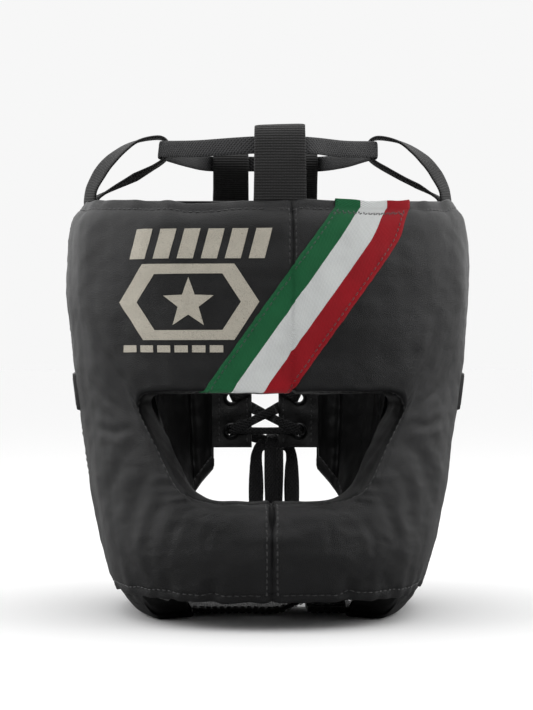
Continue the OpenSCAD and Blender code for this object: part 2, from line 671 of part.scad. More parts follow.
// Webbing loops stand on the rim, between the two leathers.
front_loop_x = 5;
front_rim = shell_point(0, rim_z(0), 0.5).y;
front_lace = [front_loop_x, front_rim + 10, rim_z(0) + 32];
module front_loop() {
    foot = rim_z(0) + 0.6;
    route = [[front_rim - 1.4, foot], [front_rim - 1.2, foot + 20], [front_rim + 1.5, foot + 36],
        [front_rim + 5.5, foot + 42], [front_rim + 11, foot + 41], [front_rim + 14.5, foot + 35],
        [front_rim + 13.5, foot + 26], [front_rim + 7, foot + 13], [front_rim + 1.8, foot + 4], [front_rim + 1.4, foot]];
    color(web_black) upright_band(front_loop_x, front_loop_width, route);
}

rear_rim = strip_y(strip_top);
rear_loop_x = 23;
rear_lace_at = [rear_loop_x, rear_rim - 12.5, rim_z(180) + 26];
module rear_loop_left() {
    foot = strip_top;
    route = [[rear_rim + 1, foot], [rear_rim - 0.5, foot + 18], [rear_rim - 5, foot + 30],
        [rear_rim - 12, foot + 34.5], [rear_rim - 16.5, foot + 32], [rear_rim - 17, foot + 24],
        [rear_rim - 12, foot + 15], [rear_rim - 4, foot + 5], [rear_rim - 1.5, foot]];
    color(web_black) upright_band(rear_loop_x, rear_loop_width, route);
}

module rear_loop_right() {
    mirror([1, 0, 0]) rear_loop_left();
}

side_rim = shell_point(side_seam, rim_height, 0.5).x;
side_lean = 42;
side_lace = [side_rim - side_lean, 0, rim_height + 31];
module side_loop_left() {
    foot = rim_height + 0.4;
    route = [[side_rim + 1.4, foot], [side_rim + 0.5, foot + 8], [side_rim - 9, foot + 23],
        [side_rim - 25, foot + 35], [side_rim - side_lean + 2, foot + 38.5], [side_rim - side_lean - 4, foot + 36],
        [side_rim - side_lean - 4.5, foot + 28], [side_rim - side_lean, foot + 23.5],
        [side_rim - 28, foot + 16], [side_rim - 10, foot + 6], [side_rim - 1.6, foot]];
    color(web_black) translate([0, side_loop_width / 2, 0]) rotate([90, 0, 0])
        linear_extrude(side_loop_width) polygon(band_outline(route, webbing));
}

module side_loop_right() {
    mirror([1, 0, 0]) side_loop_left();
}

// Flat lace that draws the crown in: through the loops, and tied between the two rear ones.
crown_width = 10;
crown_thick = 2;
crown_knot_size = [10, 8, 11];
crown_knot_x = 3;
module crown_lace() {
    half_loop = side_loop_width / 2;
    ends = [crown_knot_x + crown_knot_size.x / 2, crown_knot_x - crown_knot_size.x / 2];
    function flip(p, side) = [side * p.x, p.y, p.z];
    function run(side) = [
        flip([rear_lace_at.x + rear_loop_width / 2 + 1, rear_lace_at.y - 1, rear_lace_at.z], side),
        flip([side_lace.x - 2.5, half_loop + 3, side_lace.z], side),
        flip([side_lace.x, half_loop - 3, side_lace.z], side),
        flip([side_lace.x, 3 - half_loop, side_lace.z], side),
        flip([side_lace.x - 2.5, -half_loop - 3, side_lace.z], side)];
    first = run(1);
    second = run(-1);
    route = concat([[ends[0], rear_lace_at.y, rear_lace_at.z]], first,
        [[front_lace.x + front_loop_width / 2 + 1, front_lace.y, front_lace.z],
         [front_lace.x - front_loop_width / 2 - 1, front_lace.y, front_lace.z]],
        [for (i = [len(second) - 1:-1:0]) second[i]], [[ends[1], rear_lace_at.y, rear_lace_at.z]]);
    color(web_black) swept(along(route, [0, 0, 1], crown_width, crown_thick));
}

module crown_knot() {
    low = [crown_knot_x, rear_lace_at.y, rear_lace_at.z] - crown_knot_size / 2;
    stub = [4.4, 1.6, 20];
    color(web_black) {
        translate(low) cube(crown_knot_size);
        translate(low + [0.3, 1, -stub.z]) cube(stub);
        translate(low + [crown_knot_size.x - stub.x - 0.3, 4.5, -stub.z + 3]) cube(stub);
    }
}

// Chin strap: sewn inside the right jaw, lying across to a tab at the left one, where hook meets loop.
strap_ahead = 25 / 256;
strap_y = -shell_depth * strap_ahead;
strap_low = 0.6;
jaw_x = abs(shell_point(74, binding, 1).x);
strap_pivot = [-jaw_x + 6, strap_low + 2.4];
hinge_gap = strap_thick / 2 + 0.6;
tab_reach = 30;
overlap_x = jaw_x - tab_reach;
module strap_band(route, thick) {
    color(web_black) translate([0, strap_y + strap_width / 2, 0]) rotate([90, 0, 0])
        linear_extrude(strap_width) polygon(band_outline(route, thick));
}

module strap_root() {
    color(web_black) difference() {
        strap_band([[-jaw_x - 4, strap_pivot.y], [strap_pivot.x - hinge_gap, strap_pivot.y]], strap_thick);
        jaw_pad_right();
        lower_binding_right();
    }
}

tab_z = strap_low + strap_thick / 2;
loop_z = strap_low + strap_thick;
hook_z = loop_z + fastener_thick + 0.3;
strap_rise = hook_z + fastener_thick + strap_thick / 2;
pad_length = tab_reach - 8;
module chin_strap() {
    strap_band([[strap_pivot.x + 0.3, strap_pivot.y], [strap_pivot.x + 9, tab_z], [overlap_x - 18, tab_z],
        [overlap_x - 6, mix(tab_z, strap_rise, 0.6)], [overlap_x, strap_rise], [overlap_x + pad_length + 2, strap_rise]],
        strap_thick);
}

module fastener(z) {
    translate([overlap_x + 1, strap_y - strap_width / 2 + 2, z]) cube([pad_length, strap_width - 4, fastener_thick]);
}

module hook_pad() {
    color("#2c2c2e") fastener(hook_z);
}

module fastening_tab() {
    color(web_black) difference() {
        strap_band([[overlap_x, tab_z], [jaw_x + 4, tab_z]], strap_thick);
        jaw_pad_left();
        lower_binding_left();
    }
}

module loop_pad() {
    color("#232325") fastener(loop_z);
}

front_cover_left();
front_cover_right();
forehead_foam();
bar_foam();
cheek_foam_left();
cheek_foam_right();
forehead_lining();
bar_lining();
cheek_lining_left();
cheek_lining_right();
eye_binding();
ribbon_green();
ribbon_white();
ribbon_red();
printed_emblem();
side_cover_left();
side_cover_right();
side_foam_left();
side_foam_right();
side_lining_left();
side_lining_right();
jaw_pad_left();
jaw_pad_right();
lower_binding_left();
lower_binding_right();
ear_ring_left();
ear_ring_right();
side_patch_left();
side_patch_right();
lacing_strip_left();
lacing_strip_right();
eyelets_left();
eyelets_right();
rear_lace();
lace_knot();
bow_loop_left();
bow_loop_right();
lace_tail_left();
lace_tail_right();
front_loop();
side_loop_left();
side_loop_right();
rear_loop_left();
rear_loop_right();
crown_lace();
crown_knot();
strap_root();
chin_strap();
hook_pad();
fastening_tab();
loop_pad();
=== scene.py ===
import math

import bpy
import numpy as np
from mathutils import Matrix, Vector
from mathutils.bvhtree import BVHTree


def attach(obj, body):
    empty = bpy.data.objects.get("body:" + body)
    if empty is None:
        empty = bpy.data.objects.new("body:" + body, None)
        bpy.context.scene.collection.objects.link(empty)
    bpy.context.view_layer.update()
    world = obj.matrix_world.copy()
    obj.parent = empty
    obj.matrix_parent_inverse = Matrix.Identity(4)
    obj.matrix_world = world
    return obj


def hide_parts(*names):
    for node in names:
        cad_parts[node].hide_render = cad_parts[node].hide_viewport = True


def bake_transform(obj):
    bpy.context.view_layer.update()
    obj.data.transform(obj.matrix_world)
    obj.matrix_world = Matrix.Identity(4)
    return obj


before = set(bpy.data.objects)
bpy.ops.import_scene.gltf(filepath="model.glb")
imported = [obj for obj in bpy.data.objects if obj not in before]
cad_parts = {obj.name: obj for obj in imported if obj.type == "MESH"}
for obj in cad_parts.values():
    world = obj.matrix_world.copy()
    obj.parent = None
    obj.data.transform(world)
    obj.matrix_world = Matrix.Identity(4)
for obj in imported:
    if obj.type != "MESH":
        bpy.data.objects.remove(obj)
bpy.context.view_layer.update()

# ---------------------------------------------------------------- camera, stage and light
scene = bpy.context.scene
scene.view_settings.view_transform = "Standard"
scene.view_settings.look = "None"
# Metres. The floor is at height 0, and the headgear's front faces -Y.
CAMERA_PLACE, CAMERA_AIM, LENS = Vector((-0.023, -1.25, 0.1545)), Vector((-0.001, 0, 0.1545)), 102.7


def look(place, aim):
    """The turn that points a camera or a lamp from one place to another."""
    return (Vector(aim) - Vector(place)).to_track_quat("-Z", "Y").to_euler()


camera = bpy.data.objects.new("camera", bpy.data.cameras.new("camera"))
scene.collection.objects.link(camera)
camera.data.lens = LENS
camera.data.sensor_width = 36
camera.location = CAMERA_PLACE
camera.rotation_euler = look(CAMERA_PLACE, CAMERA_AIM)
camera.data.clip_start, camera.data.clip_end = 0.02, 60
scene.camera = camera


# ---------------------------------------------------------------- node materials
WAVE = 0.314  # a Wave texture's scale times the width of one of its bands
GRAIN = 1000  # cells in a metre, divided by their width in millimetres


def tones(color, *shares):
    """A colour made darker or paler by each share."""
    return [tuple(c * k for c in color) for k in shares]


class Paint:
    """A Principled material built node by node; a value that is a socket becomes a link."""

    def __init__(self, name, color, rough, **fixed):
        self.mat = bpy.data.materials.new(name)
        self.mat.use_nodes = True
        self.tree = self.mat.node_tree
        self.shader = self.tree.nodes["Principled BSDF"]
        self.coord = self.tree.nodes.new("ShaderNodeTexCoord")
        self.normal = None
        self.set(self.shader, {"Base Color": (*color, 1), "Roughness": rough, **fixed})
        self.mat.diffuse_color = (*color, 1)

    def set(self, node, values):
        for key, value in values.items():
            if isinstance(value, bpy.types.NodeSocket):
                self.tree.links.new(value, node.inputs[key])
            elif isinstance(key, str) and hasattr(node, key):
                setattr(node, key, value)
            else:
                node.inputs[key].default_value = value

    def add(self, kind, out=0, **values):
        node = self.tree.nodes.new("ShaderNode" + kind)
        self.set(node, {k.replace("__", " "): v for k, v in values.items()})
        return node.outputs[out]

    def place(self, scale=(1, 1, 1), uv=False, turn=(0, 0, 0)):
        source = self.coord.outputs["UV" if uv else "Object"]
        return self.add("Mapping", Vector=source, Scale=scale, Rotation=turn)

    def noise(self, scale, detail=3.0, vector=None, rough=0.55):
        return self.add("TexNoise", Vector=vector or self.place(), Scale=scale, Detail=detail, Roughness=rough)

    def ramp(self, fac, stops):
        stops = list(stops)
        node = self.tree.nodes.new("ShaderNodeValToRGB")
        self.tree.links.new(fac, node.inputs[0])
        while len(node.color_ramp.elements) < len(stops):
            node.color_ramp.elements.new(0.5)
        for element, (at, color) in zip(node.color_ramp.elements, stops):
            element.position = at
            element.color = (*color, 1) if hasattr(color, "__len__") else (color, color, color, 1)
        return node.outputs[0]

    def math(self, operation, a, b=0.0):
        node = self.tree.nodes.new("ShaderNodeMath")
        node.operation = operation
        for i, value in enumerate((a, b)):
            self.set(node, {i: value})
        return node.outputs[0]

    def wave(self, width, turn=0.0, **values):
        """Bands of that width in millimetres, run across the piece's own UVs."""
        place = self.place(uv=True, turn=(0, 0, math.radians(turn)))
        return self.add("TexWave", Vector=place, Scale=WAVE / width, **values)

    def cells(self, scale, **values):
        return self.add("TexVoronoi", Vector=self.place(), Scale=scale, **values)

    def bump(self, height, distance, strength=1.0):
        values = {"Height": height, "Distance": distance, "Strength": strength}
        if self.normal:
            values["Normal"] = self.normal
        self.normal = self.add("Bump", **values)
        self.set(self.shader, {"Normal": self.normal})

    def color(self, socket):
        self.set(self.shader, {"Base Color": socket})

    def rough(self, socket):
        self.set(self.shader, {"Roughness": socket})


def leather(name, color, rough, grain=0.9, depth=0.00012, wrinkle=0.00022, spread=0.08):
    """Grained leather: pebbles, fine wrinkles and pores, and a sheen that varies a little."""
    p = Paint(name, color, rough, **{"Specular IOR Level": 0.42})
    pebble = p.ramp(p.cells(GRAIN / grain, feature="DISTANCE_TO_EDGE"), [(0.0, 0.0), (0.09, 0.55), (0.3, 1.0)])
    folds = p.noise(95, 5, rough=0.65)
    fine = p.noise(900, 2)
    soft = p.noise(26, 3)
    p.color(p.ramp(soft, zip((0.3, 0.52, 0.75), tones(color, 0.7, 1.0, 1.6))))
    p.rough(p.math("ADD", p.math("MULTIPLY", soft, spread),
                   p.math("ADD", p.math("MULTIPLY", fine, spread), rough - spread)))
    p.bump(folds, wrinkle, 0.8)
    p.bump(pebble, depth, 0.75)
    p.bump(fine, depth * 0.4, 0.5)
    return p.mat


def twill(name, color, low):
    """Woven ribbon: slanted ribs of thread, seen as a fine twill."""
    p = Paint(name, color, 0.8, **{"Sheen Weight": 0.05, "Sheen Roughness": 0.5, "Specular IOR Level": 0.2})
    wave = p.wave(0.9, 62, Distortion=0.35, Detail=2.0)
    cross = p.wave(0.6, -30, Distortion=0.3)
    threads = p.math("MULTIPLY", wave, p.math("ADD", p.math("MULTIPLY", cross, 0.5), 0.5))
    stain = p.noise(60, 4)
    both = p.math("ADD", p.math("MULTIPLY", threads, 0.75), p.math("MULTIPLY", stain, 0.5))
    p.color(p.ramp(both, [(0.12, low), (0.6, color), (0.95, tuple(min(1, c * 1.15) for c in color))]))
    p.bump(stain, 0.0004, 0.35)
    p.bump(threads, 0.00028, 0.9)
    return p.mat


def webbing(name, color, rib=1.6, fleck=0.35):
    """Nylon webbing: ribs across the band, split by the lengthwise threads."""
    p = Paint(name, color, 0.6, **{"Sheen Weight": 0.1, "Sheen Roughness": 0.45, "Specular IOR Level": 0.35})
    ribs = p.wave(rib, bands_direction="Y", Distortion=0.5, Detail=1.5)
    threads = p.wave(0.9, bands_direction="X", Distortion=0.8)
    weave = p.math("MULTIPLY", ribs, p.math("ADD", p.math("MULTIPLY", threads, 0.55), 0.45))
    speck = p.noise(2600, 1)
    tone = p.math("ADD", p.math("MULTIPLY", weave, 0.6), p.math("MULTIPLY", speck, fleck))
    p.color(p.ramp(tone, zip((0.1, 0.5, 0.85), tones(color, 0.35, 1, 2.6))))
    p.bump(weave, 0.00035, 0.9)
    p.bump(speck, 0.00012, 0.5)
    return p.mat


def braid(name, color):
    """Flat braided lace: two slanted sets of strands that make a herringbone."""
    p = Paint(name, color, 0.6, **{"Sheen Weight": 0.1, "Sheen Roughness": 0.5, "Specular IOR Level": 0.35})
    strands = p.math("MAXIMUM", *(p.wave(1.8, turn, Distortion=0.25) for turn in (38, -38)))
    fuzz = p.noise(2400, 2)
    tone = p.math("ADD", p.math("MULTIPLY", strands, 0.7), p.math("MULTIPLY", fuzz, 0.3))
    p.color(p.ramp(tone, zip((0.25, 0.7, 0.95), tones(color, 0.4, 1, 2.4))))
    p.bump(strands, 0.0004, 0.9)
    p.bump(fuzz, 0.00012, 0.5)
    return p.mat


def print_paint():
    """Screen print on leather: pale, a little metallic, cracked by the grain under it."""
    p = Paint("print_silver", (0.43, 0.40, 0.34), 0.5, **{"Metallic": 0.15})
    grain = p.ramp(p.cells(GRAIN / 0.9, feature="DISTANCE_TO_EDGE"), [(0.0, 0.0), (0.06, 0.8), (0.2, 1.0)])
    wear = p.noise(140, 5, rough=0.7)
    tone = p.math("MULTIPLY", grain, p.ramp(wear, [(0.3, 0.72), (0.5, 1.0)]))
    p.color(p.ramp(tone, [(0.0, (0.20, 0.185, 0.155)), (0.35, (0.40, 0.37, 0.31)),
                          (1.0, (0.50, 0.465, 0.39))]))
    p.bump(grain, 0.0001, 0.7)
    return p.mat


def foam_paint():
    p = Paint("foam", (0.03, 0.03, 0.033), 0.9)
    pores = p.cells(900.0)
    p.color(p.ramp(pores, [(0.0, (0.008, 0.008, 0.009)), (0.5, (0.035, 0.035, 0.038))]))
    p.bump(pores, 0.0003, 0.9)
    return p.mat


def metal_paint():
    p = Paint("eyelet_metal", (0.02, 0.02, 0.021), 0.3,
              **{"Metallic": 0.7, "Coat Weight": 0.4, "Coat Roughness": 0.15})
    wear = p.noise(420, 4)
    p.color(p.ramp(wear, [(0.45, (0.014, 0.014, 0.015)), (0.68, (0.05, 0.05, 0.052)),
                          (0.8, (0.16, 0.155, 0.15))]))
    p.bump(wear, 0.00005, 0.5)
    return p.mat


def pile_paint(name, color, scale):
    p = Paint(name, color, 0.85, **{"Sheen Weight": 0.5, "Sheen Roughness": 0.4})
    tufts = p.cells(scale)
    p.color(p.ramp(tufts, zip((0.0, 0.6), tones(color, 1.9, 0.4))))
    p.bump(tufts, 0.0006, 1.0)
    return p.mat


def thread_paint(name, color):
    p = Paint(name, color, 0.5, **{"Sheen Weight": 0.3})
    twist = p.add("TexWave", Vector=p.place(turn=(0.4, 0.7, 0.3)), Scale=700.0, Distortion=1.0)
    p.color(p.ramp(twist, zip((0.2, 0.8), tones(color, 0.5, 1))))
    p.bump(twist, 0.0001, 0.6)
    return p.mat


COVER = leather("cover_leather", (0.0048, 0.0048, 0.0054), 0.40, depth=0.00016)
BAND = leather("band_leather", (0.0035, 0.0035, 0.0038), 0.5, grain=0.7, depth=0.00006, wrinkle=0.0001)
LINING = leather("lining_leather", (0.0045, 0.0045, 0.0048), 0.36, grain=0.8, depth=0.00006, wrinkle=0.0002)
JAW = leather("jaw_leather", (0.0045, 0.0045, 0.0048), 0.46, grain=0.8, depth=0.0001)
GREEN = twill("ribbon_green", (0.011, 0.125, 0.044), (0.004, 0.055, 0.02))
WHITE = twill("ribbon_white", (0.70, 0.72, 0.71), (0.42, 0.43, 0.43))
RED = twill("ribbon_red", (0.34, 0.005, 0.012), (0.16, 0.003, 0.006))
PRINT = print_paint()
WEB = webbing("webbing", (0.016, 0.0155, 0.0155))
LACE = braid("lace", (0.010, 0.010, 0.011))
FOAM = foam_paint()
METAL = metal_paint()
HOOKS = pile_paint("hook_pad", (0.02, 0.02, 0.021), 1100)
LOOPS = pile_paint("loop_pad", (0.014, 0.014, 0.015), 1700)
THREAD = thread_paint("thread_black", (0.018, 0.018, 0.019))
THREAD_GREEN = thread_paint("thread_green", (0.006, 0.07, 0.03))
THREAD_RED = thread_paint("thread_red", (0.16, 0.006, 0.010))

# ---------------------------------------------------------------- meshes, in millimetres
# Heights below are counted from the shell's lowest point, which is this far under the floor.
SINK = np.array([0, 0, 5.5])
SIDES = ((1, "left"), (-1, "right"))


def real(points):
    """Points in metres, from the floor."""
    return (np.asarray(points, float) - SINK) / 1000


def piece(name, verts, faces, mats, replaces=(), body="shell", uv=None, face_mats=None, declare=None):
    """A mesh object from points in millimetres that rides on a body."""
    mesh = bpy.data.meshes.new(name)
    mesh.from_pydata(real(verts).tolist(), [], [list(map(int, f)) for f in faces])
    mats = mats if isinstance(mats, (list, tuple)) else [mats]
    for m in mats:
        mesh.materials.append(m)
    if face_mats is not None:
        mesh.polygons.foreach_set("material_index", np.asarray(face_mats, np.int32))
    if uv is not None:
        layer = mesh.uv_layers.new(name="UVMap")
        index = np.empty(len(mesh.loops), np.int32)
        mesh.loops.foreach_get("vertex_index", index)
        layer.data.foreach_set("uv", np.asarray(uv, np.float32)[index].ravel())
    mesh.polygons.foreach_set("use_smooth", [True] * len(mesh.polygons))
    mesh.validate()
    mesh.update()
    obj = bpy.data.objects.new(name, mesh)
    scene.collection.objects.link(obj)
    if body:
        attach(obj, body)
    if replaces:
        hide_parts(*replaces)
    return obj


def quads(n, m, wrap_n=False, wrap_m=False):
    """Faces of an n by m grid of points."""
    i = np.arange(n if wrap_n else n - 1)[:, None]
    j = np.arange(m if wrap_m else m - 1)[None, :]
    a, b = i * m + j, ((i + 1) % n) * m + j
    c, d = ((i + 1) % n) * m + (j + 1) % m, i * m + (j + 1) % m
    return np.stack([a, b, c, d], -1).reshape(-1, 4)


def faced(verts, faces, outward=True):
    """The same faces turned to look away from the middle line, or towards it."""
    v = np.asarray(verts)[np.asarray(faces)]
    normal = np.cross(v[:, 2] - v[:, 0], v[:, 3] - v[:, 1])
    away = v.mean(1)
    away[:, 2] = 0
    if ((normal * away).sum() > 0) != outward:
        faces = np.asarray(faces)[:, ::-1]
    return faces


def grid_part(g, outward=True, wrap_n=False, wrap_m=False):
    """The verts and faces of a grid of points."""
    v = g.reshape(-1, 3)
    return v, faced(v, quads(*g.shape[:2], wrap_n=wrap_n, wrap_m=wrap_m), outward).tolist()


def turned(verts, faces, axis, positive):
    """The same faces turned to look along an axis, or against it."""
    v = verts[faces]
    total = np.cross(v[:, 2] - v[:, 0], v[:, 3] - v[:, 1])[:, axis].sum()
    return faces if (total > 0) == positive else faces[:, ::-1]


def only(verts, faces):
    """Those faces, with just the verts that they use."""
    used, back = np.unique(faces, return_inverse=True)
    return verts[used], back.reshape(-1, 4)


def unit(v):
    return v / np.maximum(np.linalg.norm(v, axis=-1, keepdims=True), 1e-9)


def smoothstep(x, low, high):
    t = np.clip((x - low) / (high - low), 0, 1)
    return t * t * (3 - 2 * t)


def waves(points, length, seed, count=14):
    """Smooth noise from -1 to 1 or so: waves of about that length in seeded directions."""
    rng = np.random.default_rng(seed)
    total = np.zeros(points.shape[:-1])
    for _ in range(count):
        way = rng.normal(size=3)
        way *= 2 * math.pi / (length * rng.uniform(0.7, 1.5)) / np.linalg.norm(way)
        total += np.sin(points @ way + rng.uniform(0, 2 * math.pi))
    return total / math.sqrt(count)


def gone_along(p):
    """The distance gone at each point of a line."""
    return np.concatenate([[0], np.cumsum(np.linalg.norm(np.diff(p, axis=0), axis=1))])


def at_marks(want, marks, points):
    """Points of a line, read between its own marks."""
    return np.stack([np.interp(want, marks, column) for column in np.asarray(points, float).T], -1)


def spline(points, count):
    """A smooth curve through points, with count places spaced evenly along it."""
    p = np.asarray(points, float)
    q = np.vstack([2 * p[0] - p[1], p, 2 * p[-1] - p[-2]])
    fine = []
    for i in range(1, len(q) - 2):
        t = np.linspace(0, 1, 24, endpoint=False)[:, None]
        a, b, c, d = q[i - 1], q[i], q[i + 1], q[i + 2]
        fine.append(0.5 * (2 * b + (c - a) * t + (2 * a - 5 * b + 4 * c - d) * t * t
                           + (3 * b - a - 3 * c + d) * t ** 3))
    return evenly(np.vstack(fine + [p[-1:]]), count)


def evenly(p, count):
    gone = gone_along(p)
    return at_marks(np.linspace(0, gone[-1], count), gone, p)


def length_of(p):
    return float(np.linalg.norm(np.diff(np.asarray(p), axis=0), axis=1).sum())


def band(points, wide_ways, widths, thick, ring=20, round_edge=0.45, closed=False, crown=0.0):
    """A flat band swept along points: its verts, faces and UVs (millimetres across and along)."""
    p = np.asarray(points, float)
    n = len(p)
    t = unit(np.gradient(p, axis=0)) if not closed else unit(np.roll(p, -1, 0) - np.roll(p, 1, 0))
    w = np.asarray(wide_ways, float) * np.ones((n, 1))
    w = unit(w - t * (w * t).sum(1, keepdims=True))
    b = np.cross(t, w)
    widths = np.ones(n) * widths
    thick = np.ones(n) * thick
    a = np.linspace(0, 2 * math.pi, ring, endpoint=False)
    ca, sa = np.cos(a), np.sin(a)
    across = np.sign(ca) * np.abs(ca) ** round_edge
    up = np.sign(sa) * np.abs(sa) ** 0.8
    raised = up[None, :, None] + crown * (1 - across[None, :, None] ** 2)
    verts = (p[:, None] + w[:, None] * (across[None, :, None] * widths[:, None, None] / 2)
             + b[:, None] * (raised * thick[:, None, None] / 2))
    uv = np.stack([across[None, :] * widths[:, None] / 2, np.repeat(gone_along(p)[:, None], ring, 1)], -1)
    faces = quads(n, ring, wrap_n=closed, wrap_m=True).tolist()
    verts, uv = verts.reshape(-1, 3), uv.reshape(-1, 2)
    if not closed:
        faces += [list(range(ring))[::-1], [(n - 1) * ring + k for k in range(ring)]]
    return verts, faces, uv


def join(parts):
    """Several (verts, faces, uvs) as one."""
    verts, faces, uvs, start = [], [], [], 0
    for part in parts:
        v, f = part[0], part[1]
        verts.append(v)
        faces += [[int(k) + start for k in face] for face in f]
        uvs.append(part[2] if len(part) > 2 else np.zeros((len(v), 2)))
        start += len(v)
    return np.vstack(verts), faces, np.vstack(uvs)


STATIONS, SIDES_ROUND = 7, 6  # a stitch has this many rings, each of this many points


def stitches(points, normals, pitch=4.0, length=3.1, thick=0.85, lift=0.12):
    """A run of sewn stitches on a line: capsules that dip into the leather at their ends."""
    p = np.asarray(points, float)
    total = length_of(p)
    count = max(2, int(round(total / pitch)))
    gone = gone_along(p)
    normals = np.asarray(normals, float) * np.ones((len(p), 1))
    mid = (np.arange(count) + 0.5) * total / count
    u = np.linspace(-0.5, 0.5, STATIONS)
    radius = thick / 2 * np.sqrt(np.clip(1 - (2 * np.abs(u)) ** 4, 0.02, 1))
    dip = -0.35 * thick * (2 * np.abs(u)) ** 3
    want = mid[:, None] + u[None, :] * length
    centre = at_marks(want, gone, p)
    normal = unit(at_marks(want, gone, normals))
    side = np.cross(unit(np.gradient(centre, axis=1)), normal)
    a = np.linspace(0, 2 * math.pi, SIDES_ROUND, endpoint=False)
    ring = (centre[:, :, None] + normal[:, :, None] * (dip[None, :, None, None] + lift)
            + (side[:, :, None] * np.cos(a)[None, None, :, None]
               + normal[:, :, None] * np.sin(a)[None, None, :, None] * 0.8) * radius[None, :, None, None])
    one, size = quads(STATIONS, SIDES_ROUND, wrap_m=True), STATIONS * SIDES_ROUND
    faces = (np.arange(count)[:, None, None] * size + one[None]).reshape(-1, 4).tolist()
    for s in range(count):
        faces.append([s * size + k for k in reversed(range(SIDES_ROUND))])
        faces.append([(s + 1) * size - SIDES_ROUND + k for k in range(SIDES_ROUND)])
    return ring.reshape(-1, 3), faces


# ---------------------------------------------------------------- the shell's surfaces
def curve_table(points, soft=0.018):
    """A smooth curve through a table of shares, kept straight beyond its ends."""
    at, value = np.array(points, float).T
    u = np.linspace(-0.3, 1.3, 3201)
    raw = np.interp(u, at, value)
    for end, near, beyond in ((0, 1, u < at[0]), (-1, -2, u > at[-1])):
        slope = (value[near] - value[end]) / (at[near] - at[end])
        raw = np.where(beyond, value[end] + (u - at[end]) * slope, raw)
    kernel = np.exp(-0.5 * (np.arange(-200, 201) * 0.0005 / soft) ** 2)
    smooth = np.convolve(raw, kernel / kernel.sum(), mode="same")
    return lambda v: np.interp(v, u[250:-250], smooth[250:-250])


WIDTH, DEPTH, RIM, TILT = 245.0, 256.0, 255.0, 6.5
SQUARE, HOLLOW_SQUARE, SIDE_SEAM = 2.4, 3.0, 88.0
FOREHEAD_PAD, SIDE_PAD, BAR_PAD, REAR_PAD, RIM_EDGE = 37.0, 42.0, 35.0, 18.0, 6.0
EYE_TOP, EYE_BOTTOM, EYE_CORNER, EYE_INSET = 139.0, 75.0, 18.0, 8.0
EYE_HIGH, EYE_LOW = np.array([82.0, EYE_TOP]), np.array([47.0, EYE_BOTTOM])
LOW_EDGE, NAPE, FOREHEAD_SEAM, STRIP_EDGE = 20.0, 101.0, 12.0, 34.0
# The forehead's seam stands off the middle above this height, the bar's is in the middle below it.
SEAM_STEP = 107
# A hem's stitches run this far from the folded edge, and a doubled seam's this far on each side of it.
HEM, TOPSTITCH = 5.6, 3.2
# How wide the shell is, and how far it reaches to the front and to the rear, by share of its height.
side_curve = curve_table([(0, .61), (.04, .7), (.1, .785), (.2, .835), (.3, .875), (.45, .925), (.6, .965),
                          (.75, .995), (.9, 1), (.96, .97), (1, .91)])
front_curve = curve_table([(0, .8), (.08, .93), (.15, .985), (.2, 1), (.25, .985), (.3, .95), (.42, .9),
                           (.55, .86), (.7, .885), (.85, .88), (.95, .84), (1, .78)])
rear_curve = curve_table([(0, .73), (.2, .83), (.4, .925), (.6, 1.005), (.75, 1.045), (.9, 1.015), (1, .945)])
taper = curve_table([(0, .55), (.15, .8), (.45, .84), (.7, 1), (.86, 1), (.94, .55), (1, 0)], 0.012)


def rim_z(a):
    return RIM - TILT * np.cos(np.radians(a))


def bend(v, square):
    return np.sign(v) * np.abs(v) ** (2 / square)


def oval(a, w, d, square, z):
    r = np.radians(a)
    return np.stack([w * bend(np.sin(r), square), -d * bend(np.cos(r), square), z + 0 * a], -1)


def half_width(u):
    return WIDTH / 2 * side_curve(u)


def reach(a, u):
    return DEPTH / 2 * np.where(np.cos(np.radians(a)) > 0, front_curve(u), rear_curve(u))


def pad(a, z):
    u, c = z / rim_z(a), np.cos(np.radians(a))
    end = np.where(c < 0, REAR_PAD, BAR_PAD + (FOREHEAD_PAD - BAR_PAD) * np.clip((z - EYE_BOTTOM) / 60, 0, 1))
    full = SIDE_PAD + (end - SIDE_PAD) * c * c
    s = np.clip(taper(u), 0, 1)
    s = s + (np.maximum(s, np.clip((1 - u) * 1.8, 0, 1)) - s) * np.maximum(0, c) ** 2
    return RIM_EDGE + (full - RIM_EDGE) * s


def cover(a, z):
    a, z = np.broadcast_arrays(np.asarray(a, float), np.asarray(z, float))
    u = z / rim_z(a)
    return oval(a, half_width(u), reach(a, u), SQUARE, z)


def hollow_square(u):
    return HOLLOW_SQUARE + (SQUARE - HOLLOW_SQUARE) * np.clip((u - 0.84) / 0.14, 0, 1)


def hollow(a, z):
    a, z = np.broadcast_arrays(np.asarray(a, float), np.asarray(z, float))
    u, p = z / rim_z(a), pad(a, z)
    return oval(a, half_width(u) - p, reach(a, u) - p, hollow_square(u), z)


def normals_of(surface, a, z):
    """Outward normals of a surface given by angle and height."""
    da, dz = 0.6, 1.0
    e = surface(a + da, z) - surface(a - da, z)
    f = surface(a, z + dz) - surface(a, z - dz)
    return unit(np.cross(e, f))


def oval_angle(x, w, square):
    return np.sign(x) * np.degrees(np.arcsin(np.minimum(1, (np.abs(x) / w) ** (square / 2))))


def angle_at(x, z):
    return oval_angle(x, half_width(z / rim_z(0)), SQUARE)


def hollow_angle(x, z):
    u = z / rim_z(0)
    return oval_angle(x, half_width(u) - pad(SIDE_SEAM, z), hollow_square(u))


def ridge(d, height, wide):
    return height * np.exp(-(d / wide) ** 2)


def groove(d, depth, wide):
    return -ridge(d, depth, wide)


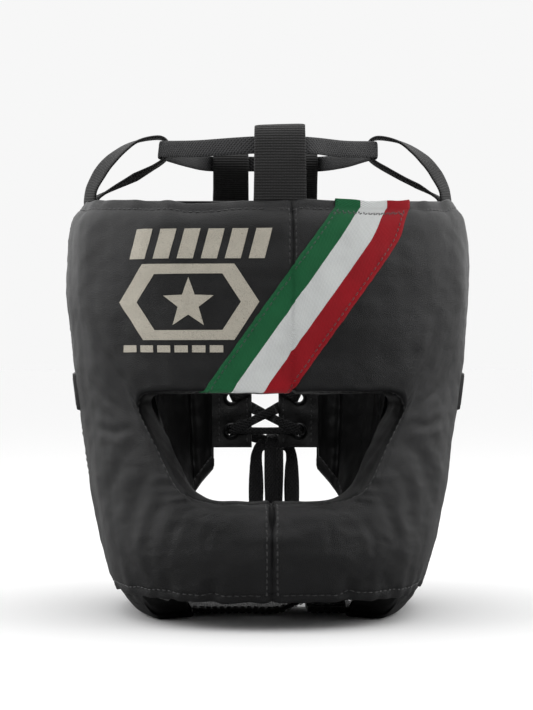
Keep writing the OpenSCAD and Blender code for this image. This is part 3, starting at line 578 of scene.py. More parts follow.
def crease(u, v, line, depth, wide):
    """A crease along a line of (u, v) points: a groove with a soft ridge on each side, fading at its ends."""
    line = np.asarray(line, float)
    best = np.full(u.shape, 1e9)
    share = np.zeros(u.shape)
    total = length_of(line)
    gone = 0.0
    for (x0, y0), (x1, y1) in zip(line[:-1], line[1:]):
        dx, dy = x1 - x0, y1 - y0
        size = dx * dx + dy * dy
        t = np.clip(((u - x0) * dx + (v - y0) * dy) / size, 0, 1)
        d = np.hypot(u - x0 - t * dx, v - y0 - t * dy)
        share = np.where(d < best, (gone + t * math.sqrt(size)) / total, share)
        best = np.minimum(best, d)
        gone += math.sqrt(size)
    fade = np.sin(math.pi * np.clip(share, 0.02, 0.98)) ** 0.7
    wide = wide * 1.5
    return 0.8 * depth * fade * (groove(best, 1, wide) + ridge(best - 2.1 * wide, 0.45, wide))


# ---------------------------------------------------------------- relief of the cover and the lining
FRONT_CREASES = [
    ([(-79, 138), (-88, 149), (-97, 163), (-101, 178)], 0.9, 1.7),
    ([(-83, 128), (-95, 134), (-106, 146)], 0.7, 1.5),
    ([(-78, 119), (-90, 115), (-103, 118)], 0.8, 1.6), ([(-74, 110), (-85, 101), (-92, 86), (-94, 68)], 0.9, 2.2),
    ([(-66, 98), (-75, 84), (-80, 66), (-78, 47)], 0.8, 2.0),
    ([(-57, 84), (-66, 69), (-71, 52), (-67, 36)], 0.7, 1.8),
    ([(-49, 72), (-56, 60), (-59, 44)], 0.6, 1.5), ([(-33, 68), (-37, 57), (-38, 46)], 0.35, 1.4),
    ([(-88, 60), (-84, 45), (-76, 32)], 0.7, 2.4), ([(-96, 90), (-101, 72), (-99, 54)], 0.7, 2.4),
    ([(79, 139), (88, 152), (95, 170), (98, 190)], 0.9, 1.8), ([(83, 130), (96, 138), (106, 153)], 0.7, 1.5),
    ([(79, 120), (92, 119), (104, 124)], 0.7, 1.6), ([(75, 112), (86, 102), (93, 86), (95, 66)], 0.9, 2.3),
    ([(68, 100), (77, 86), (81, 68), (78, 50)], 0.7, 2.0), ([(58, 86), (66, 72), (72, 56), (69, 38)], 0.8, 1.8),
    ([(50, 72), (57, 58), (58, 42)], 0.6, 1.5), ([(30, 68), (33, 56), (31, 45)], 0.35, 1.4),
    ([(90, 58), (86, 44), (78, 31)], 0.7, 2.4), ([(98, 92), (102, 76), (100, 58)], 0.6, 2.4),
    ([(-34, 18), (-33, 26), (-35, 36)], 2.2, 2.6), ([(45, 18), (44, 25), (46, 35)], 2.2, 2.6),
    ([(-62, 20), (-58, 30), (-60, 40)], 1.0, 2.4), ([(70, 20), (66, 30), (68, 41)], 1.0, 2.4),
    ([(8, 40), (30, 36), (52, 40)], 0.4, 3.0), ([(-10, 38), (-28, 34), (-50, 38)], 0.4, 3.0),
    ([(-60, 236), (-64, 222), (-60, 206)], 0.4, 3.4), ([(68, 232), (73, 214), (70, 196)], 0.4, 3.4),
    ([(-100, 214), (-104, 196), (-103, 176)], 0.5, 3.0), ([(98, 226), (104, 208), (104, 188)], 0.5, 3.0),
    ([(-70, 152), (-84, 166), (-92, 184)], 0.5, 2.4), ([(66, 150), (80, 160), (90, 176)], 0.5, 2.4)]
SIDE_CREASES = [
    ([(2, 40), (16, 60), (22, 84)], 0.8, 2.6), ([(-2, 158), (16, 172), (22, 196)], 0.7, 3.0),
    ([(10, 214), (30, 206), (52, 212)], 0.5, 3.4), ([(24, 112), (38, 108), (54, 116)], 0.7, 2.2),
    ([(22, 124), (32, 138), (34, 156)], 0.7, 2.2), ([(60, 90), (74, 108), (80, 132)], 0.9, 2.8),
    ([(48, 50), (58, 66), (72, 78)], 0.8, 2.4), ([(70, 168), (84, 182), (88, 204)], 0.6, 3.0),
    ([(14, 92), (24, 76), (40, 66)], 0.7, 2.0), ([(86, 120), (98, 132), (104, 150)], 0.7, 2.4),
    ([(40, 236), (46, 222), (42, 208)], 0.6, 2.4), ([(90, 150), (96, 168), (98, 190)], 0.5, 2.2)]


def side_low(a):
    return LOW_EDGE + (NAPE - LOW_EDGE) * np.clip((np.abs(a) - 110) / 64, 0, 1) ** 1.55


def low_edge(a):
    return np.where(np.abs(a) <= SIDE_SEAM, LOW_EDGE, side_low(a))


def relief(p, a, z):
    """How far the leather of the cover stands out, or sinks in, at each point."""
    x, y = p[..., 0], p[..., 1]
    d = 0.6 * waves(p, 46, 3) + 0.17 * waves(p, 15, 5) + 0.045 * waves(p, 5.5, 8)
    front, high = y < 0, z > SEAM_STEP
    ripple = waves(p * [0.2, 0.2, 1], 9, 11)
    for middle, where in ((FOREHEAD_SEAM, front & high), (0.0, front & ~high)):
        off = x - middle
        beside = np.abs(off)
        seam = groove(off, 1.9, 1.5) + groove(beside - 2.6, 0.35, 0.8) + 0.28 * ripple * np.exp(-beside / 8)
        d = d + np.where(where, seam + ridge(beside - 6, 0.5, 4), 0)
    off = np.abs(y - cover(SIDE_SEAM, z)[..., 1])
    near_side = np.abs(x) > 60
    seam = groove(off, 1.0, 1.9) + ridge(off - 8, 0.5, 5) + 0.3 * ripple * np.exp(-off / 6)
    d = d + np.where(near_side, seam, 0)
    below = rim_z(a) - z
    along = waves(p * [1, 1, 0.15], 17, 21)
    d = d + groove(below - HEM, 0.6, 1.2) + ridge(below - 13, 0.6, 6) + 0.55 * along * np.exp(-below / 9)
    above = z - low_edge(a)
    along = waves(p * [1, 1, 0.3], 13, 31)
    d = d + groove(above - HEM, 0.5, 1.2) + 0.75 * along * np.exp(-above / 9)
    for line, depth, wide in FRONT_CREASES:
        d = d + np.where(front, crease(x, z, line, depth, wide), 0)
    for line, depth, wide in SIDE_CREASES:
        d = d + np.where(np.abs(x) > 40, crease(y, z, line, depth, wide), 0)
    return d


def lining_relief(p, a, z):
    """How far the lining swells into the hollow: crowned between its upright seams, and wrinkled."""
    d = 1.1 + 0.7 * waves(p, 30, 41) + 0.3 * waves(p * [1, 1, 0.45], 11, 43) + 0.1 * waves(p, 5, 47)
    radius = np.hypot(p[..., 0], p[..., 1])
    for seam in (SIDE_SEAM, 121, 158):
        off = np.radians(np.abs(np.abs(a) - seam)) * radius
        d = d + groove(off, 2.6, 2.2) + ridge(off - 9, 0.8, 6)
        d = d + 0.45 * waves(p * [0.25, 0.25, 1], 10, 51) * np.exp(-off / 9)
    below = rim_z(a) - z
    d = d * smoothstep(below, 0, 8) + groove(below - HEM, 0.5, 1.2)
    return np.maximum(d * smoothstep(z - low_edge(a), -1, 7), -2.2)


def fold(last, tangent, normal, radius, steps=6, tail=4.5):
    """Rows that turn an edge over: a half circle, then a short way back inside."""
    radius = np.asarray(radius, float)[..., None] * np.ones(last.shape)
    rows = []
    for angle in np.linspace(0, math.pi, steps + 1)[1:]:
        rows.append(last - normal * radius * (1 - math.cos(angle)) + tangent * radius * math.sin(angle))
    rows.append(rows[-1] - tangent * tail)
    return np.stack(rows, 1)


# ---------------------------------------------------------------- front panel, column by column round the eyes
STEPS = (70, 42, 100, 44, 96)
RIM_COLUMNS, SIDE_COLUMNS = STEPS[0] + STEPS[1], STEPS[2] + STEPS[3]
COVER_ROWS, EDGE_ROWS, BAND_ROWS, LINING_ROWS = 64, 14, 16, 40
TUCK = 3.5  # where the lining starts, in from the hollow's edge


def bezier(p, q, r, t):
    t = np.asarray(t)[:, None]
    return np.asarray(p) * (1 - t) ** 2 + 2 * np.asarray(q) * t * (1 - t) + np.asarray(r) * t * t


def straight(p, q, n, ends=False):
    return np.asarray(p) + (np.asarray(q) - np.asarray(p)) * np.linspace(0, 1, n, endpoint=ends)[:, None]


def outlines(side):
    """Half of the opening's outline (x, height) and of the panel's outer one (angle, height)."""
    lip, high, flank, low, bar = STEPS
    way = unit(EYE_LOW - EYE_HIGH) * EYE_CORNER
    level = np.array([EYE_CORNER, 0.0])
    turn = np.linspace(0, 1, high, endpoint=False)
    turn_low = np.linspace(0, 1, low, endpoint=False)
    eye = np.vstack([straight([FOREHEAD_SEAM * side, EYE_TOP], EYE_HIGH - level, lip),
                     bezier(EYE_HIGH - level, EYE_HIGH, EYE_HIGH + way, turn),
                     straight(EYE_HIGH + way, EYE_LOW - way, flank),
                     bezier(EYE_LOW - way, EYE_LOW, EYE_LOW - level, turn_low),
                     straight(EYE_LOW - level, [0, EYE_BOTTOM], bar + 1, True)])
    start = angle_at(FOREHEAD_SEAM * side, rim_z(0) * 0.97)
    rim_a = np.linspace(start, SIDE_SEAM, RIM_COLUMNS, endpoint=False)
    out = np.vstack([np.stack([rim_a, rim_z(rim_a)], 1),
                     straight([SIDE_SEAM, rim_z(SIDE_SEAM)], [SIDE_SEAM, LOW_EDGE], SIDE_COLUMNS),
                     straight([SIDE_SEAM, LOW_EDGE], [0, LOW_EDGE], bar + 1, True)])
    return eye, out


def blur(values, size):
    k = np.ones(size) / size
    return np.convolve(np.pad(values, size, mode="edge"), k, mode="same")[size:-size]


def rows_at(surface, start, end, side, first, pull, rows):
    """Angles and heights of rows spaced evenly along each column of a surface."""
    t = np.linspace(0, 1, 90)
    a = side * (start[:, :1] + (end[:, :1] - start[:, :1]) * t)
    z = start[:, 1:] + (end[:, 1:] - start[:, 1:]) * t
    p = surface(a, z)
    gone = np.concatenate([np.zeros((len(p), 1)), np.cumsum(np.linalg.norm(np.diff(p, axis=1), axis=2), 1)], 1)
    share = np.linspace(0, 1, rows)
    aa, zz, ss = (np.empty((len(p), rows)) for _ in range(3))
    for i in range(len(p)):
        want = first[i] + (gone[i, -1] - pull[i] - first[i]) * share
        aa[i], zz[i], ss[i] = np.interp(want, gone[i], a[i]), np.interp(want, gone[i], z[i]), want
    return aa, zz, ss


def rim_drop(p):
    """How far the front rim sags where it isn't held up by a loop."""
    x, z = p[..., 0], p[..., 2]
    sag = 2.4 * np.exp(-((x + 44) / 15) ** 2) + 2.2 * np.exp(-((x - 60) / 14) ** 2)
    wavy = 0.5 * waves(p * [1, 1, 0], 22, 61) * smoothstep(z, 236, 248)
    return sag * smoothstep(z, 225, 248) * (p[..., 1] < 0) + wavy


def grid_normals(g):
    return unit(np.cross(np.gradient(g, axis=0), np.gradient(g, axis=1)))


def front_half(side):
    """Grids of the cover, of the band round the opening, and of the lining, for one half of the front."""
    eye, out = outlines(side)
    count = len(eye)
    k = np.arange(count)
    on_lip = blur((k < RIM_COLUMNS - 14).astype(float), 25)
    on_bar = blur((k > STEPS[0] + STEPS[1] + STEPS[2] + 26).astype(float), 25)
    on_flank = np.clip(1 - on_lip - on_bar, 0, 1)
    roll = 5.0 * on_lip + 3.6 * on_flank + 11.5 * on_bar
    on_rim, on_side = k < RIM_COLUMNS, (k >= RIM_COLUMNS) & (k < RIM_COLUMNS + SIDE_COLUMNS)
    rho = np.where(on_rim, 1.1, np.where(on_side, 0.7, 2.6))
    start = np.stack([angle_at(eye[:, 0], eye[:, 1]), eye[:, 1]], 1)
    a, z, s = rows_at(cover, start, out, side, roll, rho + 0.2, COVER_ROWS)
    p, n = cover(a, z), normals_of(cover, a, z)
    gather = np.sin(k * 0.52 + 2 * np.sin(k * 0.11)) * (blur((np.abs(k - 92) < 26).astype(float), 21)
                                                       + blur((np.abs(k - 234) < 30).astype(float), 21))
    d = relief(p, a, z) + 0.3 * gather[:, None] * np.exp(-s / 9) + ridge(s - roll[:, None] - 7, 0.5, 6)
    d = d + groove(s - roll[:, None] * 0.9 - 1.5, 0.35, 1.0) * on_flank[:, None]
    p = p + n * d[..., None]
    p[..., 2] -= rim_drop(p)
    tangent = unit(p[:, -1] - p[:, -3])
    skin = np.concatenate([p, fold(p[:, -1], tangent, n[:, -1], rho)], 1)

    edge = cover(side * start[:, 0], start[:, 1])
    tucked = eye[:, 0] * (1 - EYE_INSET / EYE_HIGH[0])
    inner = np.stack([hollow_angle(tucked, eye[:, 1]), eye[:, 1]], 1)
    back = hollow(side * inner[:, 0], inner[:, 1])
    short = np.where(on_rim, 1.3, 0.4)
    la, lz, ls = rows_at(hollow, inner, out, side, np.full(count, TUCK), short, LINING_ROWS)
    h, hn = hollow(la, lz), -normals_of(hollow, la, lz)
    swell = lining_relief(h, la, lz) * smoothstep(ls, TUCK, 12)
    h = h + hn * swell[..., None]
    lining = np.concatenate([h, fold(h[:, -1], unit(h[:, -1] - h[:, -3]), hn[:, -1], np.full(count, 0.9))], 1)

    w = unit(back - edge)
    deep = np.linalg.norm(back - edge, axis=1)
    into = np.minimum(roll, 0.45 * deep)
    corner = edge + n[:, 0] * d[:, :1]
    near, far = edge + w * into[:, None], back - w * np.minimum(TUCK, 0.3 * deep)[:, None]
    profile, marks = [], []
    for i in range(count):
        first = bezier(p[i, 0], corner[i], near[i], np.linspace(0, 1, 24))
        path = np.vstack([first, straight(near[i], far[i], 14)[1:],
                          bezier(far[i], back[i], h[i, 0], np.linspace(0, 1, 12))])
        gone = gone_along(path)
        rolled, total = length_of(first), gone[-1]
        seam = (on_lip[i] * (rolled + 3) + on_flank[i] * rolled * 0.5
                + on_bar[i] * (rolled + 0.55 * (total - rolled)))
        want = np.concatenate([np.linspace(0, seam, EDGE_ROWS), np.linspace(seam, total, BAND_ROWS)[1:]])
        profile.append(at_marks(want, gone, path))
        marks.append(want)
    g, marks = np.array(profile), np.array(marks)
    gn = grid_normals(g)
    gn *= np.sign((gn[:, 0] * n[:, 0]).sum(1))[:, None, None]
    seam = marks[:, EDGE_ROWS - 1:EDGE_ROWS]
    end = marks[:, -1:]
    puff = 1.3 * np.sin(math.pi * np.clip((marks - seam) / (end - seam), 0, 1)) * (marks > seam)
    swell = groove(marks - seam, 1.3, 1.1) + puff + 0.25 * waves(g, 13, 71) * smoothstep(marks, 0, 3)
    middle = np.where(g[..., 2] > SEAM_STEP, FOREHEAD_SEAM, 0.0)
    swell = swell + groove(g[..., 0] - middle, 1.6, 1.4) * smoothstep(marks, 0, 4)
    swell = swell * smoothstep(marks, 0, 1.5) * (1 - smoothstep(marks, end - 2, end))
    g = g + gn * swell[..., None]
    return {"skin": np.concatenate([g[:, EDGE_ROWS - 1:0:-1], skin], 1), "band": g[:, EDGE_ROWS - 1:],
            "lining": np.concatenate([g[:, -1:], lining[:, 1:]], 1), "edge": g, "edge_normals": gn,
            "cover": p, "hollow": h}


halves = {1: front_half(1), -1: front_half(-1)}
for key in ("skin", "band", "lining", "edge"):
    for column in (0, -1):
        shared = (halves[1][key][column] + halves[-1][key][column]) / 2
        halves[1][key][column] = halves[-1][key][column] = shared
skin_parts = []
for side, word in SIDES:
    skin_parts.append(grid_part(halves[side]["skin"]))
    piece("front_cover_" + word + "_leather", *skin_parts[-1], COVER, ["front_cover_" + word], declare="padded")


def whole(key):
    """A grid of both halves, joined into a ring round the opening."""
    return np.concatenate([halves[1][key][:-1], halves[-1][key][::-1][:-1]], 0)


piece("eye_band", *grid_part(whole("band"), False, wrap_n=True), BAND, ["eye_binding"], declare="padded")
front_lining = grid_part(whole("lining"), False, wrap_n=True)
piece("front_lining", *front_lining, LINING,
      ["forehead_lining", "bar_lining", "cheek_lining_left", "cheek_lining_right"], declare="padded")


# ---------------------------------------------------------------- side panels
SIDE_GRID = (112, 108)
EAR_Y, EAR_Z, EAR_HOLE = 12.0, 112.0, 11.0


def side_grids():
    """Grids of the cover and of the lining of the left side panel, with their normals."""
    n, m = SIDE_GRID
    s, t = np.linspace(0, 1, n)[:, None], np.linspace(0, 1, m)[None, :]
    a0 = SIDE_SEAM + (180 - angle_at(STRIP_EDGE, NAPE) - SIDE_SEAM) * s + 0 * t
    z0 = side_low(a0) + (rim_z(a0) - side_low(a0)) * t
    a = SIDE_SEAM + (180 - angle_at(STRIP_EDGE, z0) - SIDE_SEAM) * s
    z = side_low(a) + (rim_z(a) - side_low(a)) * t
    w = (0.36 * np.clip((s - 0.7) / 0.3, 0, 1) ** 2)[..., None]
    p, q = cover(a, z), hollow(a, z)
    pn, qn = normals_of(cover, a, z), -normals_of(hollow, a, z)
    p, q = p + (q - p) * w, q + (p - q) * w
    ends = smoothstep(1 - s, 0, 0.05) + 0 * t
    d = relief(p, a, z)
    strip_off = (1 - s) * 96
    d = d + groove(strip_off - 4.5, 0.6, 1.2) + 0.4 * waves(p * [0.3, 0.3, 1], 11, 81) * np.exp(-strip_off / 10)
    ear = np.hypot(p[..., 1] - EAR_Y, z - EAR_Z)
    d = d + 0.9 * np.exp(-((ear - EAR_HOLE - 7) / 5) ** 2) + groove(ear - EAR_HOLE - 2, 1.0, 1.8)
    p = p + pn * (d * (0.35 + 0.65 * ends))[..., None]
    d = lining_relief(q, a, z) * ends
    q = q + qn * d[..., None]
    return p, pn, q, qn


def frame_in(grid, normals, rho, tail=4.5):
    """A grid with all four of its edges pulled back and folded over."""
    g, n = grid.copy(), normals
    low = unit(g[:, 0] - g[:, 2])
    high = unit(g[:, -1] - g[:, -3])
    g[:, 0] -= low * rho
    g[:, -1] -= high * rho
    g = np.concatenate([fold(g[:, 0], low, n[:, 0], rho, tail=tail)[:, ::-1], g,
                        fold(g[:, -1], high, n[:, -1], rho, tail=tail)], 1)
    pick = np.concatenate([[0] * 7, np.arange(n.shape[1]), [n.shape[1] - 1] * 7])
    n = n[:, pick]
    left, right = unit(g[0] - g[2]), unit(g[-1] - g[-3])
    g[0] -= left * rho
    g[-1] -= right * rho
    return np.concatenate([fold(g[0], left, n[0], rho, tail=tail).transpose(1, 0, 2)[::-1], g,
                           fold(g[-1], right, n[-1], rho, tail=tail).transpose(1, 0, 2)], 0)


def with_hole(verts, faces, radius):
    """The faces that lie outside the hearing hole, with the points at its edge moved onto its circle."""
    v = verts.copy()
    off = v[:, 1:] - [EAR_Y, EAR_Z]
    r = np.linalg.norm(off, axis=1)
    f = np.asarray(faces)
    keep = ~(r[f] < radius).any(1)
    near = np.zeros(len(v), bool)
    near[f[keep].ravel()] = True
    gone = np.zeros(len(v), bool)
    gone[f[~keep].ravel()] = True
    edge = near & gone
    v[edge, 1:] = np.array([EAR_Y, EAR_Z]) + off[edge] / r[edge, None] * radius
    return only(v, f[keep])


def mirrored(part):
    verts = part[0] * [-1, 1, 1]
    return (verts, [list(f)[::-1] for f in part[1]]) + tuple(part[2:])


TURNS = (("left", lambda part: part), ("right", mirrored))


side_cover, side_cover_n, side_lining, side_lining_n = side_grids()
side_skin = with_hole(*grid_part(frame_in(side_cover, side_cover_n, 0.8)), EAR_HOLE + 0.5)
side_inner = with_hole(*grid_part(frame_in(side_lining, side_lining_n, 0.9, tail=3.0), False), EAR_HOLE + 0.5)
for word, turn in TURNS:
    skin_parts.append(turn(side_skin)[:2])
    piece("side_cover_" + word + "_leather", *turn(side_skin), COVER, ["side_cover_" + word], declare="padded")
    piece("side_lining_" + word + "_leather", *turn(side_inner), LINING, ["side_lining_" + word], declare="padded")



def tree_of(parts):
    """A search tree over the faces of several parts."""
    verts, faces, _ = join(parts)
    return BVHTree.FromPolygons([tuple(v) for v in verts], faces)


SKIN_SEARCH, SEWING_SEARCH = 12.0, 10.0  # how far away a surface may be found, in millimetres
skin_tree = tree_of(skin_parts)


def on_skin(points, lift=0.0):
    """Points moved onto the leather of the cover, with the leather's smoothed normals there."""
    shape = np.shape(points)
    flat = np.asarray(points, float).reshape(-1, 3)
    hit, normal = np.empty_like(flat), np.empty_like(flat)
    for i, q in enumerate(flat):
        where, n, _, _ = skin_tree.find_nearest(Vector(q), SKIN_SEARCH)
        hit[i], normal[i] = (where, n) if where is not None else (q, (0, 0, 0))
    hit, normal = hit.reshape(shape), normal.reshape(shape)
    return hit + normal * lift, normal


# ---------------------------------------------------------------- foam inside, kept clear of the leathers
def foam_block(name, outer, inner, nodes, gap=4.2):
    """A closed pad between two facing grids of points, set back from both and rounded at its edges."""
    n, m = outer.shape[:2]
    i, j = np.linspace(0, 1, n)[:, None], np.linspace(0, 1, m)[None, :]
    rim = np.minimum(np.minimum(i, 1 - i) * n, np.minimum(j, 1 - j) * m)
    share = 1 - 0.7 * np.exp(-rim / 1.5)
    way = inner - outer
    thick = np.linalg.norm(way, axis=2, keepdims=True)
    middle = (outer + inner) / 2
    half = np.maximum(thick / 2 - gap, 0.4) * share[..., None]
    way = way / np.maximum(thick, 1e-6)
    a, b = middle - way * half, middle + way * half
    verts = np.concatenate([a.reshape(-1, 3), b.reshape(-1, 3)])
    one = quads(n, m)
    loop = np.concatenate([np.arange(m), np.arange(1, n) * m + m - 1, (n - 1) * m + np.arange(m - 2, -1, -1),
                           np.arange(n - 2, 0, -1) * m])
    after = np.roll(loop, -1)
    wall = np.stack([loop, after, after + n * m, loop + n * m], 1)
    faces = np.vstack([faced(verts, one), faced(verts, one + n * m, False)]).tolist()
    faces += (wall if (one[0] == faces[0]).all() else wall[:, ::-1]).tolist()
    piece(name, verts, faces, FOAM, nodes, declare="padded")


for side, word in SIDES:
    half = halves[side]
    pick = np.linspace(8, COVER_ROWS - 5, 22).astype(int)
    pick_in = np.linspace(5, LINING_ROWS - 4, 22).astype(int)
    outer, inner = half["cover"][:, pick], half["hollow"][:, pick_in]
    a, b = RIM_COLUMNS, RIM_COLUMNS + SIDE_COLUMNS
    foam_block("cheek_foam_" + word + "_block", outer[a:b:4], inner[a:b:4], ["cheek_foam_" + word])
    outer, inner = side_cover[2:-2:4, 4:-4:4], side_lining[2:-2:4, 4:-4:4]
    if side < 0:
        outer, inner = outer[::-1] * [-1, 1, 1], inner[::-1] * [-1, 1, 1]
    foam_block("side_foam_" + word + "_block", outer, inner, ["side_foam_" + word])
for name, node, cut in (("forehead_foam_block", "forehead_foam", slice(0, RIM_COLUMNS, 4)),
                        ("bar_foam_block", "bar_foam", slice(RIM_COLUMNS + SIDE_COLUMNS, None, 4))):
    outer, inner = (np.concatenate([halves[-1][key][cut][::-1][:, rows], halves[1][key][cut][1:, rows]])
                    for key, rows in (("cover", pick), ("hollow", pick_in)))
    foam_block(name, outer, inner, [node])


# ---------------------------------------------------------------- ribbon over the forehead
RIBBON_FOOT, RIBBON_SLOPE, RIBBON_WIDTH = -39.0, math.tan(math.radians(35.5)), 50.4


def ribbon_x(u, z):
    """Where a line of the ribbon runs; near the rim its outer side turns upright."""
    turn = 7.5 * smoothstep(z, 222, 246) * u ** 1.5
    return RIBBON_FOOT + (z - EYE_TOP) * RIBBON_SLOPE + RIBBON_WIDTH * u - turn


lip_grid, lip_normal = (np.concatenate([halves[-1][key][1:STEPS[0] + 8][::-1], halves[1][key][:STEPS[0] + 8]])
                        for key in ("edge", "edge_normals"))


def under_lip(x, row):
    """A point and normal of the rolled lip above the eyes at a distance from the middle."""
    at = lip_grid[:, row, 0]
    order = np.argsort(at)
    return tuple(at_marks(x, at[order], grid[order, row]) for grid in (lip_grid, lip_normal))


def ribbon_line(u, lift):
    """One lengthwise line of the ribbon: round the lip, up the forehead, and over the rim."""
    rows, normals = [], []
    x0 = ribbon_x(u, EYE_TOP + 5)
    for row in range(12, 0, -1):
        q, n = under_lip(np.array([x0 - 0.5 * row]), row)
        rows.append(q[0] + n[0] * lift)
        normals.append(n[0])
    z = np.linspace(EYE_TOP + 5.2, 244.6, 74)
    x = ribbon_x(u, z)
    a = angle_at(x, z)
    q, n = on_skin(cover(a, z), lift)
    rows += list(q)
    normals += list(n)
    base, out = q[-1] - n[-1] * (1.1 + lift), n[-1]
    top = rim_z(a[-1]) - rim_drop(cover(a[-1:], np.array([248.0])))[0] - 1.1 - base[2]
    for angle in np.linspace(0.1, math.pi, 7):
        way = out * math.cos(angle) + np.array([0, 0, 1]) * math.sin(angle)
        rows.append(base + [0, 0, top] + way * (1.1 + lift))
        normals.append(way)
    rows.append(rows[-1] - np.array([0, 0, 3.5]))
    normals.append(-out)
    return np.array(rows), np.array(normals)


cuts = [0, 0.315, 0.675, 1]
across = np.concatenate([[0.0], np.linspace(0.004, cuts[1], 9), np.linspace(cuts[1], cuts[2], 10)[1:],
                         np.linspace(cuts[2], 0.996, 9)[1:], [1.0]])
lifts = np.where((across == 0) | (across == 1), 0.02, 0.62)
grid = np.array([ribbon_line(u, lift)[0] for u, lift in zip(across, lifts)])
wander = 0.22 * waves(grid[0] * [0, 0, 1], 9, 91) + 0.12 * waves(grid[0] * [0, 0, 1], 3, 92)
grid[:2, :, 0] += wander[None, :] * 0.8
grid[-2:, :, 0] -= wander[None, ::-1] * 0.8
kind = np.digitize((across[:-1] + across[1:]) / 2, cuts[1:3])
long_way = gone_along(grid[14])
ribbon_uv = np.stack([np.repeat(across[:, None] * 41, grid.shape[1], 1),
                      np.repeat(long_way[None, :], len(across), 0)], -1).reshape(-1, 2)
ribbon = piece("forehead_ribbon", *grid_part(grid), [GREEN, WHITE, RED],
               ["ribbon_green", "ribbon_white", "ribbon_red"], uv=ribbon_uv,
               face_mats=np.repeat(kind, grid.shape[1] - 1))

# ---------------------------------------------------------------- printed emblem
EMBLEM_X, EMBLEM_Z, BADGE = -47.0, 190.0, np.array([40.0, 21.5])
NOSE, BORDER, STAR_OUT, STAR_IN, TILE = 14, 0.26, 15, 6.2, 1.1
center = np.array([EMBLEM_X, EMBLEM_Z])
hexagon = np.array([(-BADGE[0], 0), (NOSE - BADGE[0], BADGE[1]), (BADGE[0] - NOSE, BADGE[1]), (BADGE[0], 0),
                    (BADGE[0] - NOSE, -BADGE[1]), (NOSE - BADGE[0], -BADGE[1])]) + center
inside = hexagon * (1 - BORDER) + center * BORDER
shapes = [[hexagon[i], hexagon[(i + 1) % 6], inside[(i + 1) % 6], inside[i]] for i in range(6)]
heart = center - [0, 1]
turn = np.radians(36 * np.arange(10))
star = heart + np.where(np.arange(10) % 2, STAR_IN, STAR_OUT)[:, None] * np.stack([np.sin(turn), np.cos(turn)], 1)
shapes += [[heart, star[i - 1], star[i], star[(i + 1) % 10]] for i in range(0, 10, 2)]
for k in range(6):
    x, z = EMBLEM_X - 27 + k * 13.5, EMBLEM_Z + 33
    shapes.append([(x - 6.5, z - 8.5), (x - 2, z + 8.5), (x + 7, z + 8.5), (x + 2.5, z - 8.5)])
    x, z = EMBLEM_X - 34 + k * 10, EMBLEM_Z - 26.5
    shapes.append([(x - 3.8, z - 2), (x - 3.8, z + 2), (x + 3.8, z + 2), (x + 3.8, z - 2)])
parts = []
for shape in shapes:
    a, b, c, d = (np.asarray(p, float) for p in shape)
    n = max(2, int(max(np.linalg.norm(b - a), np.linalg.norm(c - d)) / TILE))
    m = max(2, int(max(np.linalg.norm(d - a), np.linalg.norm(c - b)) / TILE))
    i, j = np.linspace(0, 1, n + 1)[:, None, None], np.linspace(0, 1, m + 1)[None, :, None]
    flat = (a * (1 - j) + d * j) * (1 - i) + (b * (1 - j) + c * j) * i
    x, z = flat[..., 0], flat[..., 1]
    parts.append(grid_part(on_skin(cover(angle_at(x, z), z), 0.2)[0]))
piece("printed_emblem_film", *join(parts)[:2], PRINT, ["printed_emblem"])


# ---------------------------------------------------------------- patches, ear rings, jaw pads and bound edges
def both_sides(name, node, part, mat, declare=None):
    """A left piece and its mirror image, each standing for the CAD node of its side."""
    for word, turn in TURNS:
        piece(name % word, *turn(part)[:2], mat, [node % word], declare=declare)


def soft_patch(point, lift, n=26, rounding=0.28):
    """A rounded sheet whose edge rolls down to what it lies on; point(u, v) gives places and normals."""
    u, v = np.meshgrid(np.linspace(-1, 1, n), np.linspace(-1, 1, n), indexing="ij")
    edge = np.maximum(np.abs(u), np.abs(v))
    uu, vv = u * np.sqrt(1 - v * v * rounding / 2), v * np.sqrt(1 - u * u * rounding / 2)
    place, normal = point(uu, vv)
    rise = lift * (1 - np.clip((edge - 0.86) / 0.14, 0, 1) ** 2.2) - 0.5 * (edge > 0.999)
    rise = rise + groove(edge - 0.8, 0.25 * lift, 0.06)
    return grid_part(place + normal * rise[..., None])


def on_side(u, v):
    a, z = 89.0 + 10.2 * u, 138.0 + 12.0 * v
    return cover(a, z) + normals_of(cover, a, z) * 0.7, normals_of(cover, a, z)


both_sides("side_patch_%s_leather", "side_patch_%s", soft_patch(on_side, 1.7), COVER)

EAR_POINTS = 64
turns = np.linspace(0, 2 * math.pi, EAR_POINTS, endpoint=False)


def rounded(x):
    """Values round a ring, averaged with their neighbours."""
    return np.convolve(np.concatenate([x[-4:], x, x[:4]]), np.ones(9) / 9, "valid")


# The leather ring of the hearing hole: its radius, how far it lifts, and its share of the way inwards.
rows = []
for radius, lift, share in ((15.4, -0.2, 0), (14.6, 1.0, 0), (13.4, 1.7, 0), (12.2, 1.6, 0), (11.2, 0.8, 0),
                            (10.7, -1.0, 0), (10.5, 0, 0.14), (10.4, 0, 0.3), (10.6, 0, 0.5), (10.4, 0, 0.7),
                            (10.5, 0, 0.86), (10.7, 1.0, 1), (11.4, -0.8, 1), (12.6, -1.5, 1), (14.0, -1.0, 1),
                            (14.8, 0.4, 1)):
    y, z = EAR_Y + radius * np.cos(turns), EAR_Z + radius * np.sin(turns)
    outer, _ = on_skin(np.stack([np.full(EAR_POINTS, 113.0), y, z], 1))
    inner = side_lining.reshape(-1, 3)
    near = [np.argmin((inner[:, 1] - b) ** 2 + (inner[:, 2] - c) ** 2) for b, c in zip(y, z)]
    x = rounded(outer[:, 0]) * (1 - share) + rounded(inner[near, 0]) * share + lift
    rows.append(np.stack([x, y, z], 1))
ear = np.array(rows)
ear[6:11] += (0.25 * np.sin(turns * 9 + 1))[None, :, None] * [0, 1, 1]
